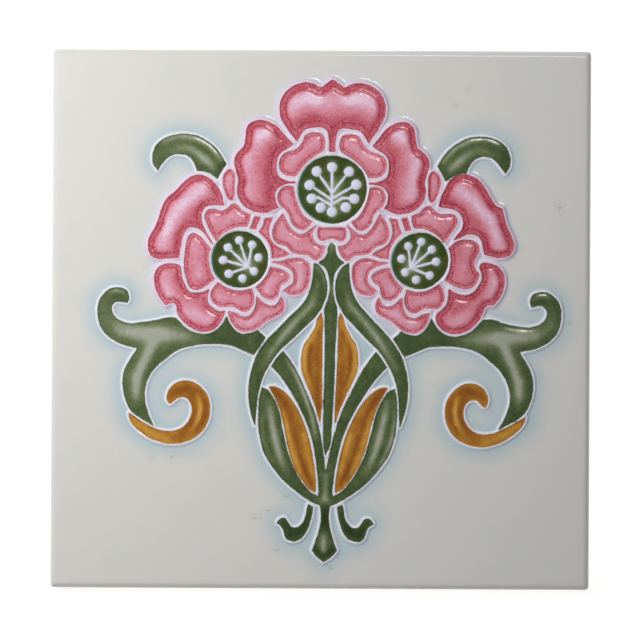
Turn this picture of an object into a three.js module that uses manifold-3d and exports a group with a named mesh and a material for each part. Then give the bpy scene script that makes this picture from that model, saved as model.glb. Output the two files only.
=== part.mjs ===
// A six inch art nouveau wall tile: one dust-pressed ceramic slab, lying face up, with a moulded relief.
// Raised lines on its glazed face wall in shallow pools, the petals, leaves and buds of the ornament.
// Millimetres, +Z up. The origin is the middle of the back, on the plane that it rests on.
import * as THREE from "three";
import { mergeVertices } from "three/addons/utils/BufferGeometryUtils.js";
import Module from "manifold-3d";

// Slab
const TILE_SIDE = 152;
const FIELD_HEIGHT = 9;
const FACE_EDGE_RADIUS = 1.8;
const FACE_EDGE_STEPS = 4;
const CORNER_RADIUS = 1.2;
const CORNER_STEPS = 3;
const BACK_CHAMFER = 0.6;

// Keyed back
const RIM_WIDTH = 9;
const KEY_DEPTH = 1;
const KEY_DRAFT = 0.5;
const RIB_COUNT = 7;
const RIB_WIDTH = 5;

// Relief: heights are above the field
const LINE_HEIGHT = 1.1;
const PETAL_LINE_WIDTH = 1.1;
const LEAF_LINE_WIDTH = 0.85;
const LINE_DRAFT = 0.3;
const POOL_HEIGHT = 0.45;
const POOL_DRAFT = 0.2;
const LINE_ROOT = 0.8;
const MITRE_LIMIT = 2;

// Flower centres
const MIDDLE_DISC_RADIUS = 9.5;
const SIDE_DISC_RADIUS = 7.85;
const DISC_STEPS = 24;
const MIDDLE_STAMEN_RADIUS = 1.4;
const SIDE_STAMEN_RADIUS = 1.15;
const STAMEN_STEPS = 8;
const STAMEN_HEIGHT = 0.95;

// Place of the ornament on the face: clear field beside it, how far it sits off the middle, the turn
// of its axis, and the slant that lifts its right side
const FIELD_MARGIN = 11.1;
const ORNAMENT_SHIFT = new THREE.Vector2(2.2, -0.25);
const ORNAMENT_TILT = THREE.MathUtils.degToRad(-0.75);
const ORNAMENT_SLANT = THREE.MathUtils.degToRad(0.39);

// The hand-cut ornament mirrors about a line that bows to the right in its middle
const AXIS_BOW = 0.7;
const BOW_MIDDLE = 3;
const BOW_REACH = 32;
const BOW_SPREAD = 16;
const SIDE_SHIFT = 0.25;
const ON_AXIS = 0.35;

// How far a chord may leave its curve, and the points between two drawn ones that it is tried on
const CHORD_ERROR = 0.2;
const FINE_STEPS = 5;

// Room by which a cutting solid passes the face that it cuts, the gap at which points are one, and the
// share of a line's width that its foot keeps from its pool where the line doesn't fold
const CUT_OVERRUN = 1;
const WELD_GAP = 1e-4;
const FOLD_SHARE = 0.97;

// Outlines of the coloured pools, [x, y] in millimetres on the ornament's own axis, y up.
// A curve runs through the points and breaks at those marked SHARP. A HALF outline closes across
// the axis, and a PAIR has a mirrored twin on the right.
const SHARP = "sharp";
const HALF = "half";
const PAIR = "pair";

const PETALS = [
  // Middle flower: top petal, then outer and inner petals from the top down
  [HALF, [
    [0, 67.8], [-1.6, 66.7], [-3.4, 65.6], [-5.0, 66.4], [-7.6, 66.9], [-10.8, 66.0], [-13.1, 64.2],
    [-14.5, 61.4], [-14.5, 58.0], [-13.3, 55.3], [-9.8, 50.6, SHARP], [-9.0, 52.2], [-7.5, 54.0],
    [-5.5, 54.5], [-2.6, 54.6], [-1.3, 53.7], [-0.6, 51.0], [-0.55, 47.9, SHARP],
  ]],
  [PAIR, [
    [-11.0, 49.6, SHARP], [-13.3, 52.0], [-15.6, 54.4], [-18.9, 56.0], [-21.5, 56.0], [-23.7, 54.4],
    [-24.1, 51.5], [-24.6, 48.9], [-26.4, 46.9], [-27.2, 44.4], [-26.5, 41.6], [-25.9, 39.2],
    [-26.2, 36.8], [-25.8, 34.3], [-23.9, 31.9], [-21.5, 30.7], [-18.5, 30.3], [-14.85, 31.7, SHARP],
    [-15.7, 33.5], [-15.8, 35.8], [-14.7, 37.45], [-12.9, 38.4], [-10.1, 38.8, SHARP], [-12.7, 39.2],
    [-15.0, 40.6], [-15.55, 43.5], [-15.1, 46.2], [-14.0, 47.6], [-12.6, 48.4],
  ]],
  [PAIR, [
    [-13.4, 29.9, SHARP], [-14.9, 27.9], [-16.0, 25.3], [-15.9, 23.4], [-15.0, 21.9], [-12.1, 20.8],
    [-10.6, 19.3], [-8.7, 18.7], [-6.0, 18.4], [-4.8, 17.5], [-3.8, 17.0], [-2.6, 17.8],
    [-1.7, 19.4], [-1.3, 20.75, SHARP], [-2.8, 21.0], [-4.4, 22.2], [-5.0, 23.8], [-4.8, 25.4],
    [-3.85, 26.7, SHARP], [-5.4, 25.5], [-7.0, 24.3], [-8.9, 24.1], [-10.7, 25.3], [-12.0, 27.2],
  ]],
  [PAIR, [
    [-9.8, 40.8, SHARP], [-7.8, 43.8], [-5.0, 46.3], [-2.4, 47.95, SHARP], [-2.0, 49.2], [-2.1, 50.8],
    [-2.7, 52.3], [-4.2, 52.85], [-6.1, 52.7], [-7.3, 52.0], [-8.0, 50.4], [-8.9, 49.0],
    [-10.5, 47.8], [-12.6, 47.1], [-13.9, 46.0], [-14.5, 43.6], [-13.6, 41.65], [-11.9, 40.8],
  ]],
  [PAIR, [
    [-10.5, 37.4, SHARP], [-12.1, 37.6], [-13.8, 36.9], [-14.8, 34.9], [-14.2, 32.7], [-12.4, 31.0],
    [-11.4, 29.5], [-10.8, 27.6], [-9.5, 26.2], [-8.0, 25.5], [-6.6, 26.0], [-5.25, 27.7, SHARP],
    [-7.0, 28.8], [-8.4, 30.6], [-9.6, 33.2], [-10.3, 35.8],
  ]],
  [HALF, [
    [0.6, 26.05], [-1.7, 26.0], [-3.1, 26.1, SHARP], [-3.35, 25.0], [-3.35, 23.9], [-2.9, 22.9],
    [-2.0, 22.5], [-0.9, 22.9], [0.7, 23.2],
  ]],
  // Side flower: outer petals anticlockwise from the top
  [PAIR, [
    [-30.2, 32.3, SHARP], [-30.8, 34.7], [-32.0, 37.1], [-33.9, 39.2], [-36.4, 40.4], [-39.2, 40.1],
    [-41.3, 38.5], [-43.9, 35.7], [-46.5, 33.4], [-48.0, 30.2], [-49.2, 26.3], [-51.0, 22.8],
    [-51.3, 20.0], [-50.2, 17.6], [-48.1, 16.9], [-45.0, 17.15], [-42.6, 17.35, SHARP],
    [-42.5, 19.3], [-42.0, 22.1], [-41.2, 24.4], [-39.7, 25.9], [-38.0, 25.9], [-35.9, 24.7],
    [-33.1, 21.2, SHARP], [-35.2, 24.6], [-36.4, 27.4], [-36.4, 30.0], [-35.3, 31.7], [-33.2, 32.3],
  ]],
  [PAIR, [
    [-42.2, 14.6], [-43.3, 15.25], [-46.0, 15.25], [-48.2, 14.25], [-49.2, 12.0], [-49.0, 9.3],
    [-48.0, 6.6], [-46.6, 4.7], [-45.8, 3.85, SHARP], [-44.8, 4.45], [-43.6, 4.5], [-42.8, 3.4],
    [-42.5, 1.6], [-41.2, -0.3], [-39.0, -2.2], [-36.6, -3.3], [-34.0, -3.4], [-31.8, -2.3],
    [-30.2, -0.2], [-29.3, 2.2, SHARP], [-30.7, 2.0], [-32.5, 2.8], [-34.0, 4.3], [-34.4, 6.3],
    [-33.9, 8.2, SHARP], [-35.4, 7.4], [-37.6, 7.15], [-39.4, 7.4], [-40.6, 9.1], [-41.8, 12.0],
  ]],
  [PAIR, [
    [-28.1, 2.1, SHARP], [-27.9, 1.0], [-27.2, -0.7], [-25.8, -2.4], [-24.0, -3.3], [-21.6, -3.0],
    [-19.4, -1.9], [-17.4, -0.2], [-15.3, 0.8], [-13.3, 2.0], [-12.5, 3.5], [-12.7, 5.0],
    [-13.4, 6.3, SHARP], [-14.1, 4.9], [-15.2, 3.95], [-17.0, 3.95], [-18.9, 5.0],
    [-20.3, 6.3, SHARP], [-20.4, 4.2], [-21.0, 2.3], [-22.4, 0.85], [-24.3, 0.65], [-26.2, 1.6],
  ]],
  [PAIR, [
    [-16.0, 16.2, SHARP], [-12.3, 15.2], [-10.5, 13.9], [-9.8, 12.0], [-10.2, 10.2], [-11.6, 9.1],
    [-12.75, 8.2, SHARP], [-11.0, 7.25], [-8.8, 7.35], [-6.8, 8.5], [-6.0, 10.0], [-5.5, 12.4],
    [-5.6, 15.2], [-7.0, 16.8], [-9.0, 17.3], [-11.2, 17.1], [-13.5, 16.4],
  ]],
  [PAIR, [
    [-18.4, 28.5, SHARP], [-18.8, 26.7], [-19.8, 24.8, SHARP], [-17.5, 22.3], [-16.4, 19.9],
    [-16.1, 17.45, SHARP], [-14.0, 17.7], [-11.4, 18.5, SHARP], [-12.6, 19.4], [-15.0, 20.6],
    [-16.6, 22.2], [-17.3, 24.4], [-17.1, 26.7], [-16.3, 28.8, SHARP],
  ]],
  // Side flower: inner petals anticlockwise from the top
  [PAIR, [
    [-32.0, 22.25, SHARP], [-30.9, 23.6], [-28.6, 25.3], [-25.7, 26.3], [-23.6, 26.3, SHARP],
    [-22.9, 27.7], [-22.75, 29.5, SHARP], [-25.0, 30.6], [-26.1, 31.9], [-27.5, 32.4], [-29.2, 31.0],
    [-30.6, 30.4], [-32.7, 30.8], [-34.3, 30.65], [-35.3, 29.2], [-34.7, 27.0], [-33.1, 24.0],
  ]],
  [PAIR, [
    [-33.8, 19.8, SHARP], [-34.9, 21.2], [-36.6, 22.9], [-38.5, 24.0], [-39.9, 23.1], [-40.6, 20.0],
    [-40.9, 17.0], [-40.8, 14.0], [-40.0, 11.0], [-39.1, 9.0], [-37.6, 8.35], [-36.0, 8.7],
    [-34.0, 10.0], [-32.5, 11.25, SHARP], [-33.5, 13.1], [-34.1, 15.5], [-34.3, 17.9],
  ]],
  [PAIR, [
    [-31.3, 10.2, SHARP], [-32.6, 8.6], [-33.2, 6.7], [-32.6, 5.0], [-31.0, 3.7], [-29.2, 3.6],
    [-27.5, 3.85], [-25.8, 3.15], [-24.0, 2.25], [-22.3, 2.9], [-21.3, 4.6], [-21.2, 6.4],
    [-21.85, 8.5, SHARP], [-24.3, 7.9], [-27.0, 8.05], [-29.6, 9.0],
  ]],
  [PAIR, [
    [-20.4, 9.1, SHARP], [-19.4, 7.5], [-17.8, 6.2], [-16.0, 5.75], [-14.6, 6.6], [-14.1, 8.0],
    [-13.7, 9.7], [-12.1, 10.7], [-11.3, 12.2], [-12.4, 13.5], [-14.3, 14.25], [-16.5, 14.7, SHARP],
    [-17.5, 12.4], [-18.7, 10.7],
  ]],
  // Sliver between the inner petals, and the bud above the side flower
  [PAIR, [[-21.2, 29.0, SHARP], [-22.4, 25.7, SHARP], [-21.0, 25.5, SHARP], [-19.8, 28.8, SHARP]]],
  [PAIR, [
    [-28.5, 42.2], [-29.9, 41.1], [-30.4, 39.0], [-29.9, 36.7], [-28.9, 34.3], [-28.0, 33.6],
    [-27.3, 35.2], [-27.3, 38.0], [-27.2, 40.2], [-27.7, 41.6],
  ]],
];

const LEAVES = [
  // Hooked leaf above the side flower
  [PAIR, [
    [-49.0, 41.9, SHARP], [-47.4, 44.2], [-45.2, 46.1], [-42.5, 46.5], [-40.2, 45.8], [-38.6, 44.0],
    [-37.8, 41.9, SHARP], [-35.5, 41.6], [-33.6, 40.8], [-32.0, 39.6, SHARP], [-30.9, 41.9],
    [-29.6, 43.8, SHARP], [-32.0, 47.5], [-35.0, 50.1], [-38.3, 51.7], [-42.0, 52.1], [-46.0, 51.4],
    [-49.2, 49.2], [-50.4, 46.4], [-50.2, 43.6],
  ]],
  // Scrolled leaf under the side flower
  [PAIR, [
    [-56.9, 4.3, SHARP], [-56.4, 5.8], [-57.0, 7.6], [-59.0, 8.5], [-61.4, 8.3], [-63.2, 7.05],
    [-64.6, 5.2], [-65.1, 2.5], [-64.9, -0.6], [-63.9, -3.1], [-61.6, -5.6], [-57.9, -7.5],
    [-53.7, -8.5, SHARP], [-55.6, -11.5], [-57.3, -14.8], [-57.7, -18.8], [-56.9, -22.8],
    [-55.3, -26.0], [-52.6, -28.1], [-48.9, -30.3, SHARP], [-50.4, -26.9], [-51.5, -22.5],
    [-51.1, -18.3], [-49.2, -14.5], [-46.5, -11.9], [-42.2, -8.8], [-37.5, -7.4], [-32.7, -7.0],
    [-27.6, -7.35], [-24.0, -8.8], [-20.9, -10.05, SHARP], [-19.4, -7.8], [-17.7, -5.1, SHARP],
    [-18.9, -4.0], [-19.9, -3.1, SHARP], [-21.8, -3.9], [-24.35, -4.25], [-26.3, -3.2],
    [-27.7, -1.4], [-28.75, 0.6, SHARP], [-29.9, -1.6], [-31.6, -3.3], [-34.2, -4.4], [-37.1, -4.15],
    [-40.0, -2.9], [-41.8, -1.15], [-43.2, 0.15, SHARP], [-45.3, 0.2], [-49.0, -0.65], [-53.0, -1.3],
    [-56.5, -1.5], [-59.4, -0.5], [-61.0, 1.3], [-61.2, 3.3], [-60.0, 4.6], [-58.5, 4.65],
  ]],
  // Ochre tip that the scroll runs into
  [PAIR, [
    [-55.9, -26.9, SHARP], [-55.3, -29.0], [-52.9, -31.8], [-49.2, -34.1], [-44.6, -35.25],
    [-40.5, -35.0], [-36.8, -33.3], [-34.2, -30.4], [-33.0, -26.6], [-33.4, -22.7], [-35.3, -19.7],
    [-38.0, -17.9], [-41.2, -17.7], [-43.7, -19.0], [-44.9, -20.9], [-45.1, -22.9], [-44.4, -24.1],
    [-43.4, -23.5], [-42.0, -22.3], [-40.3, -22.2], [-38.7, -23.4], [-38.0, -25.8], [-38.7, -28.5],
    [-40.8, -30.9], [-44.0, -31.9], [-48.1, -31.3], [-51.8, -29.5],
  ]],
  // Curved stem of the side flower, and the straight middle stem
  [PAIR, [
    [-4.3, 16.0, SHARP], [-4.4, 13.3], [-4.75, 10.3], [-5.6, 7.5], [-7.4, 4.4], [-10.4, 1.3],
    [-13.6, -2.0], [-17.0, -5.7], [-19.6, -9.4], [-21.3, -13.9], [-22.1, -19.0], [-21.9, -23.4],
    [-21.1, -27.2], [-20.2, -30.0, SHARP], [-19.9, -25.5], [-19.4, -20.7], [-18.4, -16.7],
    [-16.5, -12.8], [-13.6, -8.7], [-9.8, -5.1], [-6.0, -1.4], [-3.4, 1.4], [-1.6, 4.4],
    [-0.6, 7.6], [-0.7, 11.0], [-1.8, 14.0], [-3.2, 15.6],
  ]],
  [HALF, [
    [0.5, 21.9], [-0.2, 21.0], [-0.5, 19.0], [-1.2, 17.5], [-2.9, 16.25, SHARP], [-1.3, 15.0],
    [-0.2, 13.2], [0.3, 10.8], [0.35, 8.2], [-0.2, 5.6], [-1.0, 3.4], [-1.0, 0.5], [-0.75, -5.0],
    [-0.75, -20.0], [-0.8, -31.0], [-0.6, -35.2], [-0.1, -38.2, SHARP],
  ]],
  // Inner and outer ochre buds
  [PAIR, [
    [-2.1, 1.95, SHARP], [-3.0, 0.2], [-3.6, -2.0], [-5.2, -4.8], [-6.7, -7.2], [-7.35, -10.6],
    [-7.2, -14.0], [-6.1, -17.2], [-4.4, -21.1], [-2.9, -25.1], [-1.8, -29.0, SHARP], [-1.5, -24.0],
    [-1.55, -14.0], [-1.6, -5.0], [-1.6, 0.4],
  ]],
  [PAIR, [
    [-16.3, -19.0, SHARP], [-15.0, -21.4], [-13.5, -24.4], [-12.4, -28.0], [-11.5, -32.0],
    [-10.4, -37.0], [-8.9, -41.2], [-6.7, -45.0], [-4.2, -47.9], [-2.8, -48.7, SHARP],
    [-2.75, -46.0], [-3.3, -41.5], [-4.1, -36.8], [-5.4, -31.9], [-7.1, -27.6], [-9.2, -23.8],
    [-12.0, -20.5], [-14.5, -19.05],
  ]],
  // Leaves that rise from the foot, with the foot's own point, and the hook beside it
  [HALF, [
    [0, -43.1, SHARP], [-0.9, -37.0], [-1.9, -31.7], [-3.5, -26.0], [-5.9, -20.4], [-8.8, -14.3],
    [-11.0, -11.0], [-12.6, -8.9, SHARP], [-14.3, -10.9], [-15.75, -13.2, SHARP], [-13.0, -16.2],
    [-10.2, -20.2], [-7.7, -24.4], [-5.4, -29.3], [-3.8, -34.0], [-2.7, -39.5], [-2.0, -45.0],
    [-1.75, -48.5], [-2.0, -49.9, SHARP], [-4.2, -48.6], [-6.8, -45.7], [-9.4, -41.0],
    [-11.1, -36.5], [-12.4, -31.0], [-13.6, -25.5], [-15.3, -21.9], [-16.9, -19.9],
    [-18.3, -19.3, SHARP], [-19.0, -22.3], [-19.2, -27.0], [-18.8, -32.8], [-17.2, -38.0],
    [-14.2, -42.6], [-10.7, -46.4], [-7.0, -49.3], [-3.3, -51.6], [-1.3, -52.5, SHARP],
    [-0.95, -55.0], [-1.3, -58.4], [-2.1, -61.4], [-3.4, -65.0, SHARP], [-2.2, -66.6],
    [-0.1, -68.3, SHARP],
  ]],
  [PAIR, [
    [-4.7, -52.2, SHARP], [-5.0, -53.4], [-5.3, -55.2], [-6.2, -57.3], [-7.6, -58.6], [-9.2, -58.6],
    [-10.3, -57.4], [-11.2, -56.1], [-12.4, -56.2], [-13.4, -57.5], [-12.4, -58.1], [-11.5, -59.4],
    [-11.0, -61.3], [-9.8, -62.4], [-8.0, -62.4], [-6.3, -61.4], [-5.0, -59.4], [-4.1, -56.8],
    [-3.6, -54.6], [-3.4, -52.8, SHARP],
  ]],
];

// Centres of the discs, and of the stamens' round heads in them
const MIDDLE_DISC = [0.3, 37.1];
const MIDDLE_STAMENS = [
  [0.5, 43.5], [-3.7, 42.1], [5.2, 42.4], [-5.8, 38.4], [7.3, 38.6],
  [-5.1, 34.5], [6.8, 34.7], [-2.4, 32.0], [4.4, 32.2], [0.9, 30.7],
];
const SIDE_DISC = [-25.25, 16.75];
const SIDE_STAMENS = [
  [-25.55, 22.2], [-21.8, 20.95], [-28.7, 20.0], [-19.95, 17.4],
  [-30.0, 16.4], [-21.2, 13.5], [-28.35, 12.4], [-24.5, 11.4],
];

const wasm = await Module();
wasm.setup();

// A closed triangle mesh as a manifold-3d solid.
function solidFrom(geometry) {
  geometry.deleteAttribute("normal");
  geometry.deleteAttribute("uv");
  const merged = mergeVertices(geometry, WELD_GAP);
  return new wasm.Manifold(
    new wasm.Mesh({
      numProp: 3,
      vertProperties: new Float32Array(merged.attributes.position.array),
      triVerts: new Uint32Array(merged.index.array),
    }),
  );
}

// A manifold-3d solid as a three.js geometry.
function geometryFrom(solid) {
  const mesh = solid.getMesh();
  return new THREE.BufferGeometry()
    .setAttribute("position", new THREE.BufferAttribute(mesh.vertProperties, 3))
    .setIndex(new THREE.BufferAttribute(mesh.triVerts, 1));
}

// A solid through stacked rings of as many points each, lowest first, each ring { outline, z }.
function loft(rings) {
  const count = rings[0].outline.length;
  const position = rings.flatMap(({ outline, z }) => outline.flatMap((p) => [p.x, p.y, z]));
  const index = [];
  for (let level = 0; level + 1 < rings.length; level++) {
    for (let i = 0; i < count; i++) {
      const a = level * count + i;
      const b = level * count + ((i + 1) % count);
      index.push(a, b, b + count, a, b + count, a + count);
    }
  }
  const top = (rings.length - 1) * count;
  for (const [a, b, c] of THREE.ShapeUtils.triangulateShape(rings[0].outline, [])) {
    index.push(c, b, a);
  }
  for (const [a, b, c] of THREE.ShapeUtils.triangulateShape(rings.at(-1).outline, [])) {
    index.push(top + a, top + b, top + c);
  }
  return solidFrom(
    new THREE.BufferGeometry()
      .setAttribute("position", new THREE.Float32BufferAttribute(position, 3))
      .setIndex(index),
  );
}

// The outline of a square with round corners, drawn in from the tile's edge by inset.
function squareOutline(inset) {
  const radius = Math.max(CORNER_RADIUS - inset, CORNER_RADIUS / 10);
  const centre = TILE_SIDE / 2 - inset - radius;
  const points = [];
  for (let corner = 0; corner < 4; corner++) {
    const middle = new THREE.Vector2(centre, centre).rotateAround(
      new THREE.Vector2(),
      (corner * Math.PI) / 2,
    );
    for (let step = 0; step <= CORNER_STEPS; step++) {
      const angle = ((corner + step / CORNER_STEPS) * Math.PI) / 2;
      points.push(
        new THREE.Vector2(radius * Math.cos(angle), radius * Math.sin(angle)).add(middle),
      );
    }
  }
  return points;
}

// The pressed slab: a chamfer under it, upright sides and a quarter round into the glazed face.
function slab() {
  const rings = [
    { outline: squareOutline(BACK_CHAMFER), z: 0 },
    { outline: squareOutline(0), z: BACK_CHAMFER },
  ];
  for (let step = 0; step <= FACE_EDGE_STEPS; step++) {
    const angle = ((step / FACE_EDGE_STEPS) * Math.PI) / 2;
    rings.push({
      outline: squareOutline(FACE_EDGE_RADIUS * (1 - Math.cos(angle))),
      z: FIELD_HEIGHT - FACE_EDGE_RADIUS * (1 - Math.sin(angle)),
    });
  }
  return loft(rings);
}

// The troughs between the ribs of the back, which key into the mortar. A rib runs through the middle.
function keyTroughs() {
  const length = TILE_SIDE - 2 * RIM_WIDTH;
  const width = (length - RIB_COUNT * RIB_WIDTH) / (RIB_COUNT + 1);
  const slope = KEY_DRAFT / KEY_DEPTH;
  const troughs = [];
  for (let i = 0; i <= RIB_COUNT; i++) {
    const middle = -length / 2 + width / 2 + i * (width + RIB_WIDTH);
    const ring = (z) => {
      const x = length / 2 - slope * z;
      const y = width / 2 - slope * z;
      return {
        outline: [[-x, -y], [x, -y], [x, y], [-x, y]].map(
          ([px, py]) => new THREE.Vector2(px, middle + py),
        ),
        z,
      };
    };
    troughs.push(loft([ring(-CUT_OVERRUN), ring(KEY_DEPTH)]));
  }
  return troughs;
}

// How far right of x = 0 the mirror line lies, for a point at x, y.
function mirrorLine(x, y) {
  const beside = 1 / (1 + (x / BOW_SPREAD) ** 2);
  const along = 1 / (1 + ((y - BOW_MIDDLE) / BOW_REACH) ** 4);
  return AXIS_BOW * beside * along + SIDE_SHIFT * (1 - beside);
}

// The same points on the other side of the axis, in reverse so that they still run anticlockwise.
function mirrored(points) {
  return points.map(([x, y, ...mark]) => [2 * mirrorLine(x, y) - x, y, ...mark]).reverse();
}

// The outlines that one entry stands for.
function spread([span, points]) {
  if (span === PAIR) {
    return [points, mirrored(points)];
  }
  const beside = points.filter(([x, y]) => Math.abs(x - mirrorLine(x, y)) > ON_AXIS);
  return [[...points, ...mirrored(beside)]];
}

// The distance from a point to the chord from a to b.
function gapTo(point, a, b) {
  const chord = b.clone().sub(a);
  const along = THREE.MathUtils.clamp(point.clone().sub(a).dot(chord) / chord.lengthSq(), 0, 1);
  return point.distanceTo(a.clone().addScaledVector(chord, along));
}

// The closed curve through an outline's points, as few chords as stay within CHORD_ERROR of it.
function smooth(points) {
  const count = points.length;
  const at = (i) => new THREE.Vector3(...points[(i + count) % count].slice(0, 2), 0);
  const isSharp = (i) => points[i % count].includes(SHARP);
  const fine = points.flatMap((_, i) => {
    const before = isSharp(i) ? at(i).multiplyScalar(2).sub(at(i + 1)) : at(i - 1);
    const after = isSharp(i + 1) ? at(i + 1).multiplyScalar(2).sub(at(i)) : at(i + 2);
    const bend = [before, at(i), at(i + 1), after];
    const curve = new THREE.CatmullRomCurve3(bend, false, "centripetal");
    return Array.from({ length: FINE_STEPS }, (_, k) => {
      const { x, y } = curve.getPoint((1 + k / FINE_STEPS) / 3);
      return new THREE.Vector2(x, y);
    });
  });
  const kept = [fine[0]];
  let last = 0;
  for (let i = 1; i < fine.length; i++) {
    const next = fine[(i + 1) % fine.length];
    const corner = i % FINE_STEPS === 0 && isSharp(i / FINE_STEPS);
    const bends = fine.slice(last + 1, i + 1).some((p) => gapTo(p, fine[last], next) > CHORD_ERROR);
    if (corner || bends) {
      kept.push(fine[i]);
      last = i;
    }
  }
  return kept;
}

// A circle as chords, anticlockwise.
function circle([x, y], radius, steps) {
  return Array.from({ length: steps }, (_, k) => {
    const angle = (2 * Math.PI * k) / steps;
    return new THREE.Vector2(x + radius * Math.cos(angle), y + radius * Math.sin(angle));
  });
}

// The outward normal of the chord from a to b of an anticlockwise outline.
function chordNormal(a, b) {
  return new THREE.Vector2(b.y - a.y, a.x - b.x).normalize();
}

// An outline moved outwards by distance, point for point.
function outset(outline, distance) {
  return outline.map((p, i) => {
    const side = chordNormal(p, outline[(i + 1) % outline.length]);
    const normal = chordNormal(outline.at(i - 1), p).add(side).normalize();
    const mitre = Math.min(1 / Math.max(normal.dot(side), 1 / MITRE_LIMIT), MITRE_LIMIT);
    return p.clone().addScaledVector(normal, distance * mitre);
  });
}

// The distance from a point to the nearest chord of an outline.
function clearance(point, outline) {
  return Math.min(...outline.map((a, i) => gapTo(point, a, outline[(i + 1) % outline.length])));
}

// The raised mass of one pool with its line around it, before the pool is cut. Where the line folds
// over itself in a notch, the folded points are left out.
function lineMass(outline, width) {
  const foot = outset(outline, width);
  const crest = outset(outline, width - LINE_DRAFT);
  const kept = foot.map((p) => clearance(p, outline) > width * FOLD_SHARE);
  const ring = (points, z) => ({ outline: points.filter((_, i) => kept[i]), z });
  return loft([
    ring(foot, FIELD_HEIGHT - LINE_ROOT),
    ring(foot, FIELD_HEIGHT),
    ring(crest, FIELD_HEIGHT + LINE_HEIGHT),
  ]);
}

// The hollow of one pool. It widens from its floor up to the crest of its line, and on past it.
function poolCut(outline) {
  const rise = LINE_HEIGHT - POOL_HEIGHT;
  const mouth = (POOL_DRAFT * (rise + CUT_OVERRUN)) / rise;
  return loft([
    { outline, z: FIELD_HEIGHT + POOL_HEIGHT },
    { outline: outset(outline, mouth), z: FIELD_HEIGHT + LINE_HEIGHT + CUT_OVERRUN },
  ]);
}

const petals = PETALS.flatMap(spread);
const leaves = LEAVES.flatMap(spread);
const drawnReach = Math.max(...[...PETALS, ...LEAVES].flatMap(([, p]) => p.map(([x]) => -x)));
const ornamentScale = (TILE_SIDE / 2 - FIELD_MARGIN) / drawnReach;

// From the ornament's own axis to the face of the tile.
function placed(outline) {
  const slant = Math.tan(ORNAMENT_SLANT);
  return outline.map(({ x, y }) =>
    new THREE.Vector2(x, y + slant * x)
      .multiplyScalar(ornamentScale)
      .rotateAround(new THREE.Vector2(), ORNAMENT_TILT)
      .add(ORNAMENT_SHIFT),
  );
}

function mirroredCentre([x, y]) {
  return [2 * mirrorLine(x, y) - x, y];
}

const sideDiscs = [SIDE_DISC, mirroredCentre(SIDE_DISC)];
const discs = [
  circle(MIDDLE_DISC, MIDDLE_DISC_RADIUS, DISC_STEPS),
  ...sideDiscs.map((centre) => circle(centre, SIDE_DISC_RADIUS, DISC_STEPS)),
];
const sideStamens = [...SIDE_STAMENS, ...SIDE_STAMENS.map(mirroredCentre)];
const stamens = [
  ...MIDDLE_STAMENS.map((centre) => circle(centre, MIDDLE_STAMEN_RADIUS, STAMEN_STEPS)),
  ...sideStamens.map((centre) => circle(centre, SIDE_STAMEN_RADIUS, STAMEN_STEPS)),
];

const pinkPools = [...petals.map(smooth), ...discs].map(placed);
const leafPools = leaves.map(smooth).map(placed);

let tile = slab();
for (const trough of keyTroughs()) {
  tile = tile.subtract(trough);
}
for (const pool of pinkPools) {
  tile = tile.add(lineMass(pool, PETAL_LINE_WIDTH));
}
for (const pool of leafPools) {
  tile = tile.add(lineMass(pool, LEAF_LINE_WIDTH));
}
for (const pool of [...pinkPools, ...leafPools]) {
  tile = tile.subtract(poolCut(pool));
}
for (const head of stamens.map(placed)) {
  tile = tile.add(
    loft([
      { outline: head, z: FIELD_HEIGHT },
      { outline: outset(head, -POOL_DRAFT), z: FIELD_HEIGHT + STAMEN_HEIGHT },
    ]),
  );
}

const glaze = new THREE.MeshStandardMaterial({
  color: 0xd3d5ca,
  roughness: 0.12,
  metalness: 0,
});

const mesh = new THREE.Mesh(geometryFrom(tile), glaze);
mesh.name = "tile";

const part = new THREE.Group();
part.add(mesh);
export default part;
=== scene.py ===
# The looks of a six inch art nouveau wall tile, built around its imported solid. A closed mesh with the
# glazed relief, the run of the glaze over the sides and the keyed biscuit back takes the solid's place.
# Lengths are millimetres until a mesh, lamp or camera is made. +X is right, +Y is up the face.
import math
from collections import namedtuple

import bpy
import numpy as np
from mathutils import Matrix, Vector
from mathutils.geometry import delaunay_2d_cdt


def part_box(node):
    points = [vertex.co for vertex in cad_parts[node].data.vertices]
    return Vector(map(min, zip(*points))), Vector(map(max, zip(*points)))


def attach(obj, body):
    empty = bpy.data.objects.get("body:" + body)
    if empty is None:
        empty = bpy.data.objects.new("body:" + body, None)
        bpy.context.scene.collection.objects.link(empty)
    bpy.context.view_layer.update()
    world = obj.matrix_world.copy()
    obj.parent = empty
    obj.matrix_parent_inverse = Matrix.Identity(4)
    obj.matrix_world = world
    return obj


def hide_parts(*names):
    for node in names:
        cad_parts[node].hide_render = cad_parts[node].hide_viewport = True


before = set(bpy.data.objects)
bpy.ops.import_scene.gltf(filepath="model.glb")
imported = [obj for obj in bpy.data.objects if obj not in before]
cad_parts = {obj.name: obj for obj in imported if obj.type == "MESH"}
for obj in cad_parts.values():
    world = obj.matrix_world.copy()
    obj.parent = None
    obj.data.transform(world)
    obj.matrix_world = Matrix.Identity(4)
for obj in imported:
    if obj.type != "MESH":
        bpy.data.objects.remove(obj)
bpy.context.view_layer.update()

MM = 0.001
PIECE = "glazed_tile"

# Glazes of the coloured pools
ROSE = "rose"
LEAF = "leaf"
OCHRE = "ochre"
CENTRE = "centre"
GLAZES = (ROSE, LEAF, OCHRE, CENTRE)

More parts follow.
